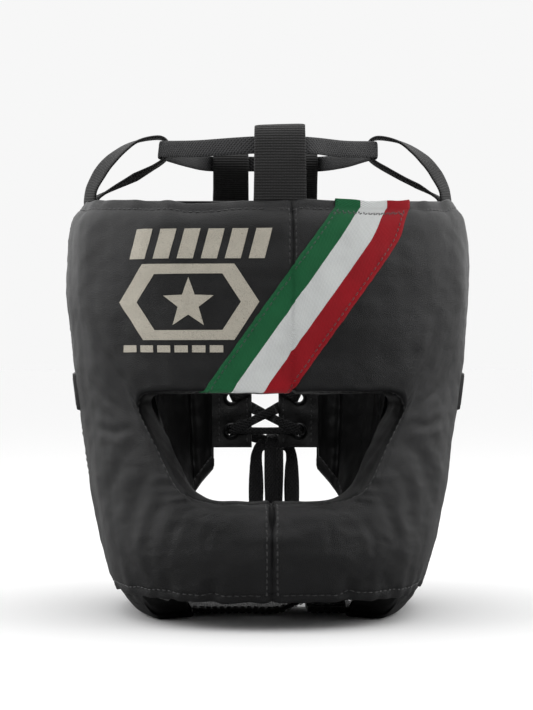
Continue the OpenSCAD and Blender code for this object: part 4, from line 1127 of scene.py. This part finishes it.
both_sides("ear_ring_%s_leather", "ear_ring_%s", grid_part(ear, wrap_m=True), COVER)


def jaw_low(a):
    return 7.0 + 11.0 * np.clip((a - 104) / 20, 0, 1)


def section(a, share, z):
    """A point between the jaw pad's outer side (share 0) and the hollow (share 1)."""
    p, q = cover(a, z), hollow(a, z)
    p = p + unit(q - p) * 2.0
    return p + (q - p) * share[..., None]


def rounded_path(low, high, deep, corner, count):
    """Down one side of a pad, round its bottom and up the other side, as shares across and heights."""
    w, h = deep, high - low
    corner = min(corner, h * 0.45)
    arc = [(corner - corner * math.cos(t), low + corner - corner * math.sin(t))
           for t in np.linspace(0, math.pi / 2, 8)]
    path = [(0.0, high)] + arc + [(w - x, z) for x, z in arc[::-1]] + [(w, high)]
    path = evenly(np.array(path), count)
    return path[:, 0] / w, path[:, 1]


# The jaw pads run between these angles; their tops lie inside the shell.
JAW_FROM, JAW_TO, JAW_TOP, JAW_ROUND, PAD_POINTS, TAPE_POINTS = 50, 124, 23.0, 5.0, 44, 40
pad_rows, tape_rows = [], []
for a in np.linspace(JAW_FROM, JAW_TO, 90):
    end = min(1, max(0.0, (a - JAW_FROM) / 5), max(0.0, (JAW_TO - a) / 6))
    end = math.sin(end * math.pi / 2)
    low = float(jaw_low(a)) * end + 15 * (1 - end)
    through = section(a, np.array(0.0), 12.0) - section(a, np.array(1.0), 12.0)
    deep, out = float(np.linalg.norm(through)), unit(through)
    share, z = rounded_path(low, JAW_TOP, deep, JAW_ROUND, PAD_POINTS)
    q = section(np.full(PAD_POINTS, a), share, z)
    rise = np.clip((z - low - JAW_ROUND) / (JAW_TOP - low - JAW_ROUND), 0, 1)
    swell = 0.9 * np.sin(np.pi * rise) * np.where(share < 0.5, 1, -0.6)
    q = q + out * (swell + 0.35 * waves(q, 12, 101) * (z > low + 3))[:, None]
    pad_rows.append(q)
    if 52 <= a <= 121:
        share, z = rounded_path(low - 1.5 * end, low + 7.5, deep + 1.6, 4.6, TAPE_POINTS)
        share = (share * (deep + 1.6) - 0.8) / deep
        tape_rows.append(section(np.full(TAPE_POINTS, a), share, z))
pads = np.array(pad_rows)
middle = pads.mean(1, keepdims=True)
pads = np.concatenate([middle[:1] + 0 * pads[:1], pads, middle[-1:] + 0 * pads[-1:]])
both_sides("jaw_pad_%s_leather", "jaw_pad_%s", grid_part(pads), JAW, declare="padded")
tape = np.array(tape_rows)
tape[..., 2] = np.maximum(tape[..., 2], SINK[2])
columns = np.linspace(30, SIDE_GRID[0] - 1, 110)


def column_at(grid, c, j):
    low, t = np.floor(c).astype(int), (c - np.floor(c))[:, None]
    high = np.minimum(low + 1, grid.shape[0] - 1)
    return grid[low, j] * (1 - t) + grid[high, j] * t


out_low, in_low = column_at(side_cover, columns, 0), column_at(side_lining, columns, 0)
out_up, in_up = column_at(side_cover, columns, 5), column_at(side_lining, columns, 5)
out_way, in_way = unit(out_up - out_low), unit(in_up - in_low)
span = in_low - out_low
down = unit(-(out_way + in_way))
# The nape's tape: up the cover, round the edge between the leathers, and up the lining.
UPRIGHT = ((0.7, 8.2), (1.2, 7.4), (1.3, 5), (1.25, 2), (1.0, 0.2))
ring_rows = [out_low + out_way * up - unit(span) * lift for lift, up in UPRIGHT]
ring_rows += [out_low + span * share + down * dip
              for share, dip in ((0.1, 1.1), (0.3, 1.5), (0.5, 1.5), (0.7, 1.5), (0.9, 1.1))]
ring_rows += [in_low + in_way * up + unit(span) * lift for lift, up in UPRIGHT[::-1]]
nape = np.array(ring_rows).transpose(1, 0, 2)
nape = nape + (0.25 * waves(nape, 9, 111))[..., None] * unit(nape * [1, 1, 0])
both_sides("bound_edge_%s_tape", "lower_binding_%s", join([grid_part(tape), grid_part(nape)]), JAW)

# ---------------------------------------------------------------- lacing strips and eyelets
FIRST_ROW, PITCH, ROWS, EYELET_X, STRIP_THICK = 109.0, 22.2, 6, 22.6, 2.4
STRIP_IN, STRIP_OUT, PUNCH, STRIP_SEW = 9.0, 36.5, 3.9, (12.2, 31.0)


def strip_y(z):
    a = 180 - angle_at(STRIP_EDGE, z)
    return (cover(a, z)[..., 1] + hollow(a, z)[..., 1]) / 2


def strip_slope(z):
    return (strip_y(z + 2) - strip_y(z - 2)) / 4


def strip_soft(x, z):
    """How far a strip bends in and out: pulled forward at each eyelet, and wavy between them."""
    off = x - STRIP_IN
    wavy = 0.35 * waves(np.stack([x, z, 0 * x], -1), 14, 121) * (1 - ridge(off, 1, 3))
    return wavy + 0.5 * np.sin((z - FIRST_ROW) / PITCH * 2 * math.pi) * ridge(off, 1, 7)


eyelet_z = FIRST_ROW + PITCH * np.arange(ROWS)
xx, zz = np.meshgrid(np.linspace(STRIP_IN, STRIP_OUT, 40), np.linspace(98.2, 260.2, 236), indexing="ij")
near_eye = np.min(np.hypot(xx[..., None] - EYELET_X, zz[..., None] - eyelet_z), -1)
mid_y = strip_y(zz) + strip_soft(xx, zz)
half_thick = STRIP_THICK / 2 * np.sqrt(np.clip(1 - (1 - np.clip((xx - STRIP_IN) / 1.1, 0, 1)) ** 2, 0.0, 1))
press = groove(xx - STRIP_SEW[0], 0.25, 0.7) + groove(near_eye - 5.8, 0.3, 1.2)
parts = []
for way in (1, -1):
    g = np.stack([xx, mid_y + way * (half_thick + press * (half_thick > 0.6)), zz], -1)
    v, f = g.reshape(-1, 3), quads(*g.shape[:2])
    keep = ~(near_eye.reshape(-1)[f] < PUNCH).any(1)
    parts.append(only(v, turned(v, f, 1, way > 0)[keep]))
both_sides("lacing_strip_%s_leather", "lacing_strip_%s", join(parts), COVER)

profile = [(3.0, 0.0), (3.0, 1.0), (3.15, 1.55), (3.7, 1.95), (4.5, 1.95), (5.2, 1.6), (5.45, 1.15), (5.2, 1.0)]
profile = profile[::-1] + [(r, -h) for r, h in profile[1:]]
spin = np.linspace(0, 2 * math.pi, 40, endpoint=False)
parts = []
for z in eyelet_z:
    slope = float(strip_slope(z))
    out = np.array([0, 1, -slope]) / math.hypot(1, slope)
    up = np.cross([1.0, 0, 0], out)
    up = up if up[2] > 0 else -up
    mid = np.array([EYELET_X, float(strip_y(z)), z])
    g = np.array([[mid + (np.array([1, 0, 0]) * math.cos(t) + up * math.sin(t)) * r + out * h for t in spin]
                  for r, h in profile])
    parts.append((g.reshape(-1, 3), quads(len(profile), 40, wrap_m=True).tolist()))
both_sides("eyelets_%s_rings", "eyelets_%s", join(parts), METAL)


# ---------------------------------------------------------------- laces and knots
def sweep(stations, count, ring=18):
    """A flat lace through stations of (place, width direction, width, thickness)."""
    place, ways, widths, thick = zip(*stations)
    gone = gone_along(np.array(place, float))
    gone /= gone[-1]
    at = np.linspace(0, 1, count)
    return band(spline(place, count), at_marks(at, gone, ways), np.interp(at, gone, widths),
                np.interp(at, gone, thick), ring)


def row_place(x, k):
    return np.array([x, float(strip_y(eyelet_z[k])), eyelet_z[k]])


OVER, LACE_THICK, UPRIGHT_WAY = 3.0, 1.3, (0, 0, 1)
KNOT = np.array([6.0, 113.861, 102.0])
strands = []
for side in (-1, 1):
    top = ((0.2, OVER + 0.4, 7.5, LACE_THICK), (EYELET_X - 6, OVER, 7.5, LACE_THICK), (EYELET_X - 1.2, 2.2, 4.6, 1.9))
    stations = [(row_place(-side * x, ROWS - 1) - [0, off, 0], UPRIGHT_WAY, wide, thick)
                for x, off, wide, thick in top]
    for k in range(ROWS - 1, 0, -1):
        way = side if (ROWS - 1 - k) % 2 == 0 else -side
        start, end = row_place(-way * EYELET_X, k), row_place(way * EYELET_X, k - 1)
        flat = np.array([way * PITCH, 0, 2 * EYELET_X]) / math.hypot(PITCH, 2 * EYELET_X)
        lift = side * 0.85

        def spot(x, off, start=start, end=end, way=way):
            t = (way * x + EYELET_X) / (2 * EYELET_X)
            return start + (end - start) * t + np.array([0, off, 0])
        x = EYELET_X
        # From eyelet to eyelet: how far across, how far off the strips, how wide and how thick.
        crossing = ((1.3 - x, 2.4, 4.8, 1.7), (5 - x, OVER, 7.4, LACE_THICK), (-7.8, OVER - 0.2, 6.6, LACE_THICK),
                    (-5.2, lift + 0.3, 5.6, LACE_THICK), (5.2, lift - 0.3, 5.6, LACE_THICK),
                    (7.8, 0.2 - OVER, 6.6, LACE_THICK), (x - 5, -OVER, 7.4, LACE_THICK), (x - 1.3, -2.4, 4.8, 1.7))
        stations.append((start, UPRIGHT_WAY, 4.3, 1.9))
        stations += [(spot(way * at, off), flat, wide, thick) for at, off, wide, thick in crossing]
    way = -side
    stations += [(row_place(way * EYELET_X, 0), UPRIGHT_WAY, 4.3, 1.9),
                 (row_place(way * (EYELET_X - 1.3), 0) + [0, 2.4, 0], UPRIGHT_WAY, 4.8, 1.7),
                 (row_place(way * (EYELET_X - 5), 0) + [0, OVER, -1], UPRIGHT_WAY, 7, LACE_THICK),
                 (KNOT + [way * 9, 0.6, 1.5], UPRIGHT_WAY, 7, LACE_THICK),
                 (KNOT + [way * 3, 0, 0], UPRIGHT_WAY, 6, LACE_THICK)]
    strands.append(sweep(stations, 520))


def lace_piece(name, node, parts):
    verts, faces, uv = join(parts)
    piece(name, verts, faces, LACE, [node], uv=uv)


lace_piece("rear_lace_braid", "rear_lace", strands)


def wrap(center, radii, wide, tilt, lean=0.0, thick=1.5, count=40, axis=0):
    """A closed turn of flat lace round a knot: an upright oval, tilted and leaned."""
    t = np.linspace(0, 2 * math.pi, count, endpoint=False)
    q = np.stack([0 * t, radii[0] * np.cos(t), radii[1] * np.sin(t)], 1)
    ways = np.repeat([[1.0, 0, 0]], count, 0)
    if axis == 2:
        q = np.stack([radii[1] * np.sin(t), radii[0] * np.cos(t), 0 * t], 1)
        ways = np.repeat([[0, 0, 1.0]], count, 0)
    for angle, (i, j) in ((tilt, (0, 2)), (lean, (0, 1))):
        c, s = math.cos(angle), math.sin(angle)
        for arr in (q, ways):
            arr[:, [i, j]] = np.stack([arr[:, i] * c - arr[:, j] * s, arr[:, i] * s + arr[:, j] * c], 1)
    return band(q + center, ways, wide, thick, 16, closed=True, crown=0.5)


lace_piece("lace_knot_braid", "lace_knot", [
    wrap(KNOT + [0, 0.3, 0], (3.4, 4.6), 6.6, 0.25), wrap(KNOT + [-3.4, 0, 0.2], (2.6, 3.9), 5.2, -0.35, 0.3),
    wrap(KNOT + [3.4, 0, -0.2], (2.6, 3.9), 5.2, 0.5, -0.3),
    wrap(KNOT + [0, 0, -0.6], (2.5, 5.4), 5.4, 0.1, 0.1, axis=2)])


def lace_cord(name, node, route, ways, widths=9.0, thick=1.35):
    """A free end or loop of lace, swept as a flat band along its route."""
    fine = spline(route, 120)
    gone, at = np.linspace(0, 1, len(route)), np.linspace(0, 1, 120)
    wide = np.interp(at, gone, np.ones(len(route)) * widths)
    v, f, uv = band(fine, at_marks(at, gone, ways), wide, thick, 18)
    obj = piece(name, v, f, LACE, [node], uv=uv)


for side, word in SIDES:
    shape = [(0, -2.2, -1), (2.6, -2.3, -3), (4.6, -2.6, -9), (5.2, -2.8, -20), (5.6, -2.2, -34), (5.2, -1.9, -48),
             (5, -1.6, -56), (5, 0.9, -60), (5, 3.4, -56), (4.9, 3.6, -46), (4.4, 3.2, -32), (4.8, 3.4, -18),
             (5, 2.8, -10), (3, 1.8, -5), (0, 1.2, -3)]
    tilt = [(0, 0, 1), (0.7, 0, 0.7)] + [(1, 0.12 * side, 0)] * 4 + [(1, 0, 0)] * 3 + [(1, -0.1 * side, 0)] * 4 + [
        (0.7, 0, 0.7), (0, 0, 1)]
    tilt = [(side * q[0], side * q[1], q[2]) for q in tilt]
    route = [KNOT + [side * (7 + q[0]), q[1], q[2]] for q in shape]
    lace_cord("bow_loop_" + word + "_braid", "bow_loop_" + word, route, tilt,
              [6, 7, 8.6] + [9] * 9 + [8.6, 7, 6])
for word, x, y, low in (("left", 1.5, 2.2, 26.0), ("right", -1.5, -1.2, 12.0)):
    top, t = KNOT + [x, y, -4.0], np.linspace(0, 1, 9)
    sway = x * 0.25 * np.minimum(1, 4 * t) + 0.9 * np.sin(4.4 * t + x)
    route = top + np.stack([sway, 0.8 * t + 0.5 * np.sin(5 * t), -(top[2] - low) * t], 1)
    twist = 0.5 * np.sin(3 * t + x)
    ways = np.stack([np.cos(twist), np.sin(twist), 0 * t], 1)
    lace_cord("lace_tail_" + word + "_braid", "lace_tail_" + word, route, ways)


# ---------------------------------------------------------------- webbing loops on the rim
FRONT_RIM, SIDE_RIM, REAR_RIM = -96.84, 108.42, 115.152
FRONT_FOOT, SIDE_FOOT, REAR_FOOT = 249.1, 255.4, 260.5
ROOT = -7.0


def webbing_loop(name, node, route, ways, wide, thick=1.9, bow=0.0):
    """A folded band of webbing whose two ends go down between the leathers."""
    at = np.linspace(0, 1, 150)
    w = at_marks(at, np.linspace(0, 1, len(route)), ways)
    v, f, uv = band(spline(route, 150), w, wide * (1 - bow * np.sin(math.pi * at)), thick, 28, round_edge=0.3)
    v = v + 0.22 * waves(v, 16, 131)[:, None] * [0.4, 1, 0.3]
    piece(name, v, f, WEB, [node], uv=uv)


front_route = [(5, FRONT_RIM + y, FRONT_FOOT + z) for y, z in (
    (-1.6, ROOT), (-1.6, 2), (-1.9, 20), (0.6, 34), (5.2, 41.6), (11, 41.4), (14.8, 35.5), (13.6, 26), (7.4, 13.5),
    (2.2, 4), (1.6, ROOT))]
webbing_loop("front_loop_webbing", "front_loop", front_route, [(1, 0, 0.03)] * 11, 30.5, bow=0.05)
side_route = [(1.4, ROOT), (1.4, 1), (-1.0, 10), (-10, 23.5), (-25, 35), (-40, 38.6), (-46.4, 35.5), (-46.8, 28.5),
              (-42, 23), (-28, 15), (-10, 5.6), (-1.8, 0), (-1.8, ROOT)]
side_ways = [(0.5, 0.85, 0)] * 2 + [(0.65, 0.76, 0)] * 2 + [(0.5, 0.86, 0), (0.2, 1, 0), (0, 1, 0), (0, 1, 0),
             (-0.1, 1, 0), (-0.25, 0.95, 0.1), (-0.1, 0.97, 0), (0.3, 0.93, 0), (0.5, 0.85, 0)]
rear_route = [(1.2, ROOT), (1.0, 1), (-0.5, 18), (-4.8, 29.5), (-11.5, 34.6), (-16.8, 32), (-17.3, 24), (-12, 14.5),
              (-4, 4.5), (-1.7, 0), (-1.7, ROOT)]
for side, word in SIDES:
    webbing_loop("side_loop_" + word + "_webbing", "side_loop_" + word,
                 [(side * (SIDE_RIM + x), 0, SIDE_FOOT + z) for x, z in side_route],
                 [(side * q[0], q[1], side * q[2]) for q in side_ways], 15)
    webbing_loop("rear_loop_" + word + "_webbing", "rear_loop_" + word,
                 [(side * 23, REAR_RIM + y, REAR_FOOT + z) for y, z in rear_route],
                 [(1, 0, 0.02 * side)] * 11, 24.5, bow=0.04)

# ---------------------------------------------------------------- crown lace and its knot
CROWN_KNOT = np.array([3.0, 102.65, 287.5])
CROWN_Y, CROWN_Z = CROWN_KNOT[1:]
half = [(36.5, CROWN_Y - 1, CROWN_Z), (51, 58, 286.0), (63.92, 10.5, 286), (66.42, 4.5, 286), (66.42, -4.5, 286),
        (63.92, -10.5, 286), (43.5, -48, 282.4), (21.5, -86.84, 280.5)]
crown_route = [(6, CROWN_Y, CROWN_Z), (14, CROWN_Y, CROWN_Z)] + half + [(5, -86.9, 280.2), (-11.5, -86.84, 280.5)]
crown_route += [(-x, y, z) for x, y, z in half[:-1]][::-1] + [(-9, CROWN_Y, CROWN_Z), (0, CROWN_Y, CROWN_Z)]
fine = spline(crown_route, 620)
lean = 0.12 * waves(fine, 60, 141)
ways = np.stack([lean, 0 * lean, 1 + 0 * lean], 1)
lace_piece("crown_lace_braid", "crown_lace", [band(fine, ways, 10.0, 2.0, 20)])
parts = [wrap(CROWN_KNOT + [0, 0, 0.4], (3.3, 5.0), 7.0, 0.2),
         wrap(CROWN_KNOT + [-2.6, 0.2, 0], (2.7, 4.3), 5.0, -0.4, 0.2),
         wrap(CROWN_KNOT + [2.6, -0.2, 0], (2.7, 4.3), 5.0, 0.35, -0.2)]
for x, y, turn in ((-2.4, -2.0, 0.15), (2.4, 1.4, -0.2)):
    route = CROWN_KNOT + np.array([(x, y, -2), (x * 1.1, y, -9), (x * 1.2, y + 0.6, -16), (x * 1.3, y + 0.5, -24)])
    parts.append(band(spline(route, 40), (1, turn, 0), 5.4, 1.5, 16))
lace_piece("crown_knot_braid", "crown_knot", parts)

# ---------------------------------------------------------------- chin strap, its tab and the two fasteners
STRAP_Y, STRAP_WIDE, JAW_X, PIVOT_X, FLOOR = -25.0, 38.0, 52.71, -46.71, SINK[2]
OVERLAP, STRAP_HEM = JAW_X - 30, 3.4


def strap_part(route, name, nodes, body, thick=3.4, count=140):
    """A band of padded webbing across the jaw, with a row of stitches along each edge and across its ends."""
    fine = spline([(x, STRAP_Y, FLOOR + z) for x, z in route], count)
    v, f, uv = band(fine, (0, 1, 0), STRAP_WIDE, thick, 32, round_edge=0.3)
    v = v + 0.18 * waves(v, 18, 151)[:, None] * [0.2, 0.2, 1]
    up = np.cross(unit(np.gradient(fine, axis=0)), (0, 1, 0))
    up = up * np.sign(up[:, 2:])
    half = STRAP_WIDE / 2 - STRAP_HEM
    runs = []
    for way in (1, -1):
        for off in (-1, 1):
            line = fine[3:-3] + [0, off * half, 0]
            runs.append(stitches(line + up[3:-3] * way * thick / 2, up[3:-3] * way))
        for k in (6, -7):
            line = fine[k] + np.linspace(-1, 1, 30)[:, None] * [0, half, 0]
            runs.append(stitches(line + up[k] * way * thick / 2, up[k] * way))
    sewn = join(runs)
    every = join([(v, f, uv), sewn])
    return piece(name, every[0], every[1], [WEB, THREAD], nodes, body=body, uv=every[2],
                 face_mats=[0] * len(f) + [1] * len(sewn[1]))


strap = strap_part([(-JAW_X - 3.2, 3), (PIVOT_X - 2, 3), (PIVOT_X + 3, 2.8), (PIVOT_X + 10, 2.4), (-15, 2.5),
                    (OVERLAP - 18, 2.5), (OVERLAP - 6, 6.6), (OVERLAP + 1, 9.2), (OVERLAP + 24, 9.3)],
                   "chin_strap_webbing", ["strap_root", "chin_strap"], None, count=220)
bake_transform(strap)
strap_part([(OVERLAP, 2.4), (OVERLAP + 15, 2.4), (JAW_X + 3.2, 2.4)], "fastening_tab_webbing",
           ["fastening_tab"], "shell", count=60)


def fastener_pad(name, node, mat, low, high, body, seed):
    """A sewn rectangle of hooks or of pile, with rounded corners."""
    length, wide, count = 22.0, 34.0, 80
    turn = np.linspace(0, 2 * math.pi, count, endpoint=False)
    round_trip = np.stack([np.cos(turn), np.sin(turn)], 1)
    square = np.sign(round_trip) * np.abs(round_trip) ** 0.3 * [length / 2, wide / 2]
    rings = ((0.05, low), (0.7, low), (0.96, low), (1, low + 0.3), (1, high - 0.3), (0.97, high), (0.92, high),
             (0.86, high - 0.12), (0.8, high), (0.5, high), (0.05, high))
    g = np.array([np.concatenate([square * shrink, np.full((count, 1), z)], 1) for shrink, z in rings])
    g[4:, :, 2] += 0.1 * waves(g[4:], 2.0, seed)
    v = g.reshape(-1, 3) + [OVERLAP + 12, STRAP_Y, FLOOR]
    ends = [list(range(count)), [(len(rings) - 1) * count + k for k in reversed(range(count))]]
    f = quads(len(rings), count, wrap_m=True).tolist() + ends
    piece(name, v, f, mat, [node], body=body, uv=v[:, :2])


fastener_pad("loop_pad_pile", "loop_pad", LOOPS, 4.1, 5.75, "shell", 161)
fastener_pad("hook_pad_hooks", "hook_pad", HOOKS, 5.95, 7.55, "strap", 171)

# ---------------------------------------------------------------- leather that closes the pads' edges
def closing_strip(height, inset_out, inset_in, dip, angles):
    """A soft strip between the cover and the lining, just inside a folded edge."""
    rows = []
    for share in np.linspace(0, 1, 14):
        z = height(angles)
        p, q = cover(angles, z), hollow(angles, z)
        w = unit(q - p)
        p, q = p + w * inset_out, q - w * inset_in
        r = p + (q - p) * share
        r[:, 2] += dip * math.sin(math.pi * share)
        rows.append(r)
    return np.array(rows)


low_strip = closing_strip(lambda a: low_edge(a) + 2.6, 2.2, 1.2, -1.2, np.linspace(-105, 105, 260))
rim_strip = closing_strip(lambda a: rim_z(a) - 3.4, 1.6, 1.2, 0.5, np.linspace(-165, 165, 380))
rim_strip[..., 2] -= rim_drop(rim_strip)
parts = []
for g, up in ((low_strip, False), (rim_strip, True)):
    v = g.reshape(-1, 3)
    parts.append((v, turned(v, quads(*g.shape[:2]), 2, up)))
piece("edge_closing_leather", *join(parts)[:2], BAND)

# ---------------------------------------------------------------- sewing
lining_tree = tree_of([front_lining, side_inner, mirrored(side_inner)])


def on_tree(tree, points):
    """The nearest places of a surface and its normals, smoothed along the run."""
    hit, normal = [], []
    for q in np.asarray(points, float):
        where, n, _, _ = tree.find_nearest(Vector(q), SEWING_SEARCH)
        if where is not None:
            hit.append(where)
            normal.append(n)
    normal = np.array(normal)
    for _ in range(3):
        normal[1:-1] = unit(normal[:-2] + normal[1:-1] * 2 + normal[2:])
    return np.array(hit), normal


runs = {"black": [], "green": [], "red": []}


def sew(points, tree=skin_tree):
    """Stitches along a run of points, put onto the leather there."""
    hit, normal = on_tree(tree, points)
    if len(hit) > 3:
        runs["black"].append(stitches(hit, normal))


def up_the_front(x, low, high):
    z = np.linspace(low, high, 120)
    return cover(angle_at(x, z), z)


for off in (-1.9, 1.9):
    sew(up_the_front(FOREHEAD_SEAM + off, 212.5 + off, 244.0))
for off in (-TOPSTITCH, TOPSTITCH):
    front = up_the_front(off, LOW_EDGE + 5, 66)
    over = []
    source = np.concatenate([halves[-1]["edge"][-60:], halves[1]["edge"][-60:][::-1]])
    for row in range(1, EDGE_ROWS - 1):
        at = source[:, row, 0]
        order = np.argsort(at)
        over.append(at_marks(off, at[order], source[order, row]))
    sew(np.vstack([front, np.array(over)]))
for low, high in ((-172, -91), (-85, -1), (1, 17), (48, 85), (91, 172)):
    a = np.linspace(low, high, 260)
    for surface, tree in ((cover, skin_tree), (hollow, lining_tree)):
        q = surface(a, rim_z(a) - HEM)
        q[:, 2] -= rim_drop(cover(a, rim_z(a) - HEM))
        sew(q, tree)
a = np.linspace(17, 48, 120)
sew(hollow(a, rim_z(a) - HEM), lining_tree)
for side in (1, -1):
    line = np.array([at_marks(1.9, gone_along(row), row) for row in halves[side]["skin"][::2, :16]])
    for _ in range(4):
        line[1:-1] = (line[:-2] + 2 * line[1:-1] + line[2:]) / 4
    hit, normal = on_tree(skin_tree, line)
    runs["black"].append(stitches(hit, normal, pitch=4.2, length=3.0))
    for low, high, count in ((2, 86, 200), (91, 106, 60)):
        a_low = np.linspace(low, high, count) * side
        sew(cover(a_low, low_edge(a_low) + 5.8))
    for off in (-TOPSTITCH, TOPSTITCH):
        z = np.linspace(LOW_EDGE + 5, 252, 240)
        q = cover(SIDE_SEAM, z)
        a = SIDE_SEAM + np.degrees(off / np.maximum(np.hypot(q[:, 0], q[:, 1]), 1))
        q = cover(a, z) * [side, 1, 1]
        sew(q[(z < 123) | (z > 153)])
    for x in STRIP_SEW:
        z = np.linspace(101, 257, 240)
        swell = strip_soft(x + 0 * z, z)
        for way in (1, -1):
            line = np.stack([side * (x + 0 * z), strip_y(z) + swell + way * 1.05, z], 1)
            normal = unit(np.stack([0 * z, way + 0 * z, -way * strip_slope(z)], 1))
            runs["black"].append(stitches(line, normal))
    t = np.linspace(0, 4, 161)[:-1]
    u = np.interp(t, [0, 1, 2, 3, 4], [-1, 1, 1, -1, -1]) * 0.8
    v = np.interp(t, [0, 1, 2, 3, 4], [-1, -1, 1, 1, -1]) * 0.78
    place, normal = on_side(u, v)
    runs["black"].append(stitches((place + normal * 1.15) * [side, 1, 1], normal * [side, 1, 1]))
    for row, inner, facing in ((0, 1, -3), (-1, -2, 2)):
        line = nape[:, row] * 0.4 + nape[:, inner] * 0.6
        normal = unit((line - nape[:, facing]) * [1, 1, 0.2])
        runs["black"].append(stitches(line * [side, 1, 1], normal * [side, 1, 1], lift=0.3))
for u, colour in ((0.063, "green"), (0.937, "red")):
    line, normal = ribbon_line(u, 0.64)
    runs[colour].append(stitches(line[2:-9], normal[2:-9], pitch=3.6, length=2.9, thick=0.75, lift=0.05))
u = np.linspace(0.03, 0.97, 29)
zig = []
for i, k in enumerate(u):
    z = 240.6 + (1.3 if i % 2 else -1.3)
    x = ribbon_x(k, z)
    zig.append(cover(angle_at(x, z), z))
hit, normal = on_tree(skin_tree, np.array(zig))
share = np.linspace(0, 1, 6, endpoint=False)[None, :, None]
fine_zig = (hit[:-1, None] + (hit[1:, None] - hit[:-1, None]) * share).reshape(-1, 3)
fine_n = np.repeat(normal[:-1], 6, 0)
runs["black"].append(stitches(fine_zig + fine_n * 0.62, fine_n, pitch=length_of(fine_zig) / 28, length=2.6,
                              thick=0.7))
for colour, mat in (("black", THREAD), ("green", THREAD_GREEN), ("red", THREAD_RED)):
    piece("stitching_" + colour, *join(runs[colour])[:2], mat)


# ---------------------------------------------------------------- stage and light
def stage_mesh(name, verts, faces, color, rough):
    mesh = bpy.data.meshes.new(name)
    mesh.from_pydata(verts, [], faces)
    mesh.polygons.foreach_set("use_smooth", [True] * len(mesh.polygons))
    paint = Paint(name, color, rough)
    mesh.materials.append(paint.mat)
    obj = bpy.data.objects.new(name, mesh)
    scene.collection.objects.link(obj)
    return paint


def soft_light(name, place, size, power, aim=(0, 0, 0.15)):
    lamp = bpy.data.lights.new(name, "AREA")
    lamp.shape, lamp.size, lamp.size_y, lamp.energy = "RECTANGLE", size[0], size[1], power
    obj = bpy.data.objects.new(name, lamp)
    scene.collection.objects.link(obj)
    obj.location = place
    obj.rotation_euler = look(place, aim)


REACH = 20.0
floor = stage_mesh("floor", [(-REACH, -REACH, 0), (REACH, -REACH, 0), (REACH, REACH, 0), (-REACH, REACH, 0)],
                   [(0, 1, 2, 3)], (0.98, 0.98, 0.98), 0.9)
floor.set(floor.shader, {"Specular IOR Level": 0.0})
dim = floor.add("BsdfDiffuse", Color=(0.3, 0.3, 0.3, 1))
kind_of_ray = floor.tree.nodes.new("ShaderNodeLightPath")
both = floor.add("MixShader")
# The leather's gloss sees a darker floor than the one in view.
for socket, source in enumerate((kind_of_ray.outputs["Is Glossy Ray"], floor.shader.outputs[0], dim)):
    floor.tree.links.new(source, both.node.inputs[socket])
floor.tree.links.new(both, floor.tree.nodes["Material Output"].inputs["Surface"])

AMBIENT, BACKDROP = 1.08, 0.93
scene.world = bpy.data.worlds.new("studio")
scene.world.use_nodes = True
tree = scene.world.node_tree
room = tree.nodes["Background"]


def world_node(kind, **values):
    node = tree.nodes.new("ShaderNode" + kind)
    for key, value in values.items():
        if isinstance(value, bpy.types.NodeSocket):
            tree.links.new(value, node.inputs[key.replace("__", " ")])
        else:
            setattr(node, key, value)
    return node


def world_ramp(fac, stops):
    node = world_node("ValToRGB")
    tree.links.new(fac, node.inputs[0])
    for element, (at, tone) in zip(node.color_ramp.elements, stops):
        element.position, element.color = at, (tone, tone, tone, 1)
    return node.outputs[0]


way = world_node("SeparateXYZ", Vector=world_node("TexCoord").outputs["Generated"])
minus = world_node("Math", operation="MULTIPLY")
tree.links.new(way.outputs["Y"], minus.inputs[0])
minus.inputs[1].default_value = -1.0
front = world_ramp(minus.outputs[0], ((0.2, 1.0), (0.8, 0.03)))
above = world_ramp(way.outputs["Z"], ((0.35, 0.0), (0.8, 1.0)))
brighter = world_node("Math", operation="MAXIMUM")
tree.links.new(front, brighter.inputs[0])
tree.links.new(above, brighter.inputs[1])
tree.links.new(brighter.outputs[0], room.inputs["Color"])
room.inputs["Strength"].default_value = AMBIENT
backdrop = world_node("Background")
backdrop.inputs["Color"].default_value = (1, 1, 1, 1)
backdrop.inputs["Strength"].default_value = BACKDROP
mix = world_node("MixShader")
tree.links.new(world_node("LightPath").outputs["Is Camera Ray"], mix.inputs[0])
tree.links.new(room.outputs[0], mix.inputs[1])
tree.links.new(backdrop.outputs[0], mix.inputs[2])
tree.links.new(mix.outputs[0], tree.nodes["World Output"].inputs["Surface"])
soft_light("top_light", (0.0, 0.1, 1.5), (1.6, 1.4), 5)
soft_light("left_light", (-1.3, -0.2, 0.7), (0.9, 1.2), 4)
soft_light("right_light", (1.3, -0.2, 0.7), (0.9, 1.2), 3.5)
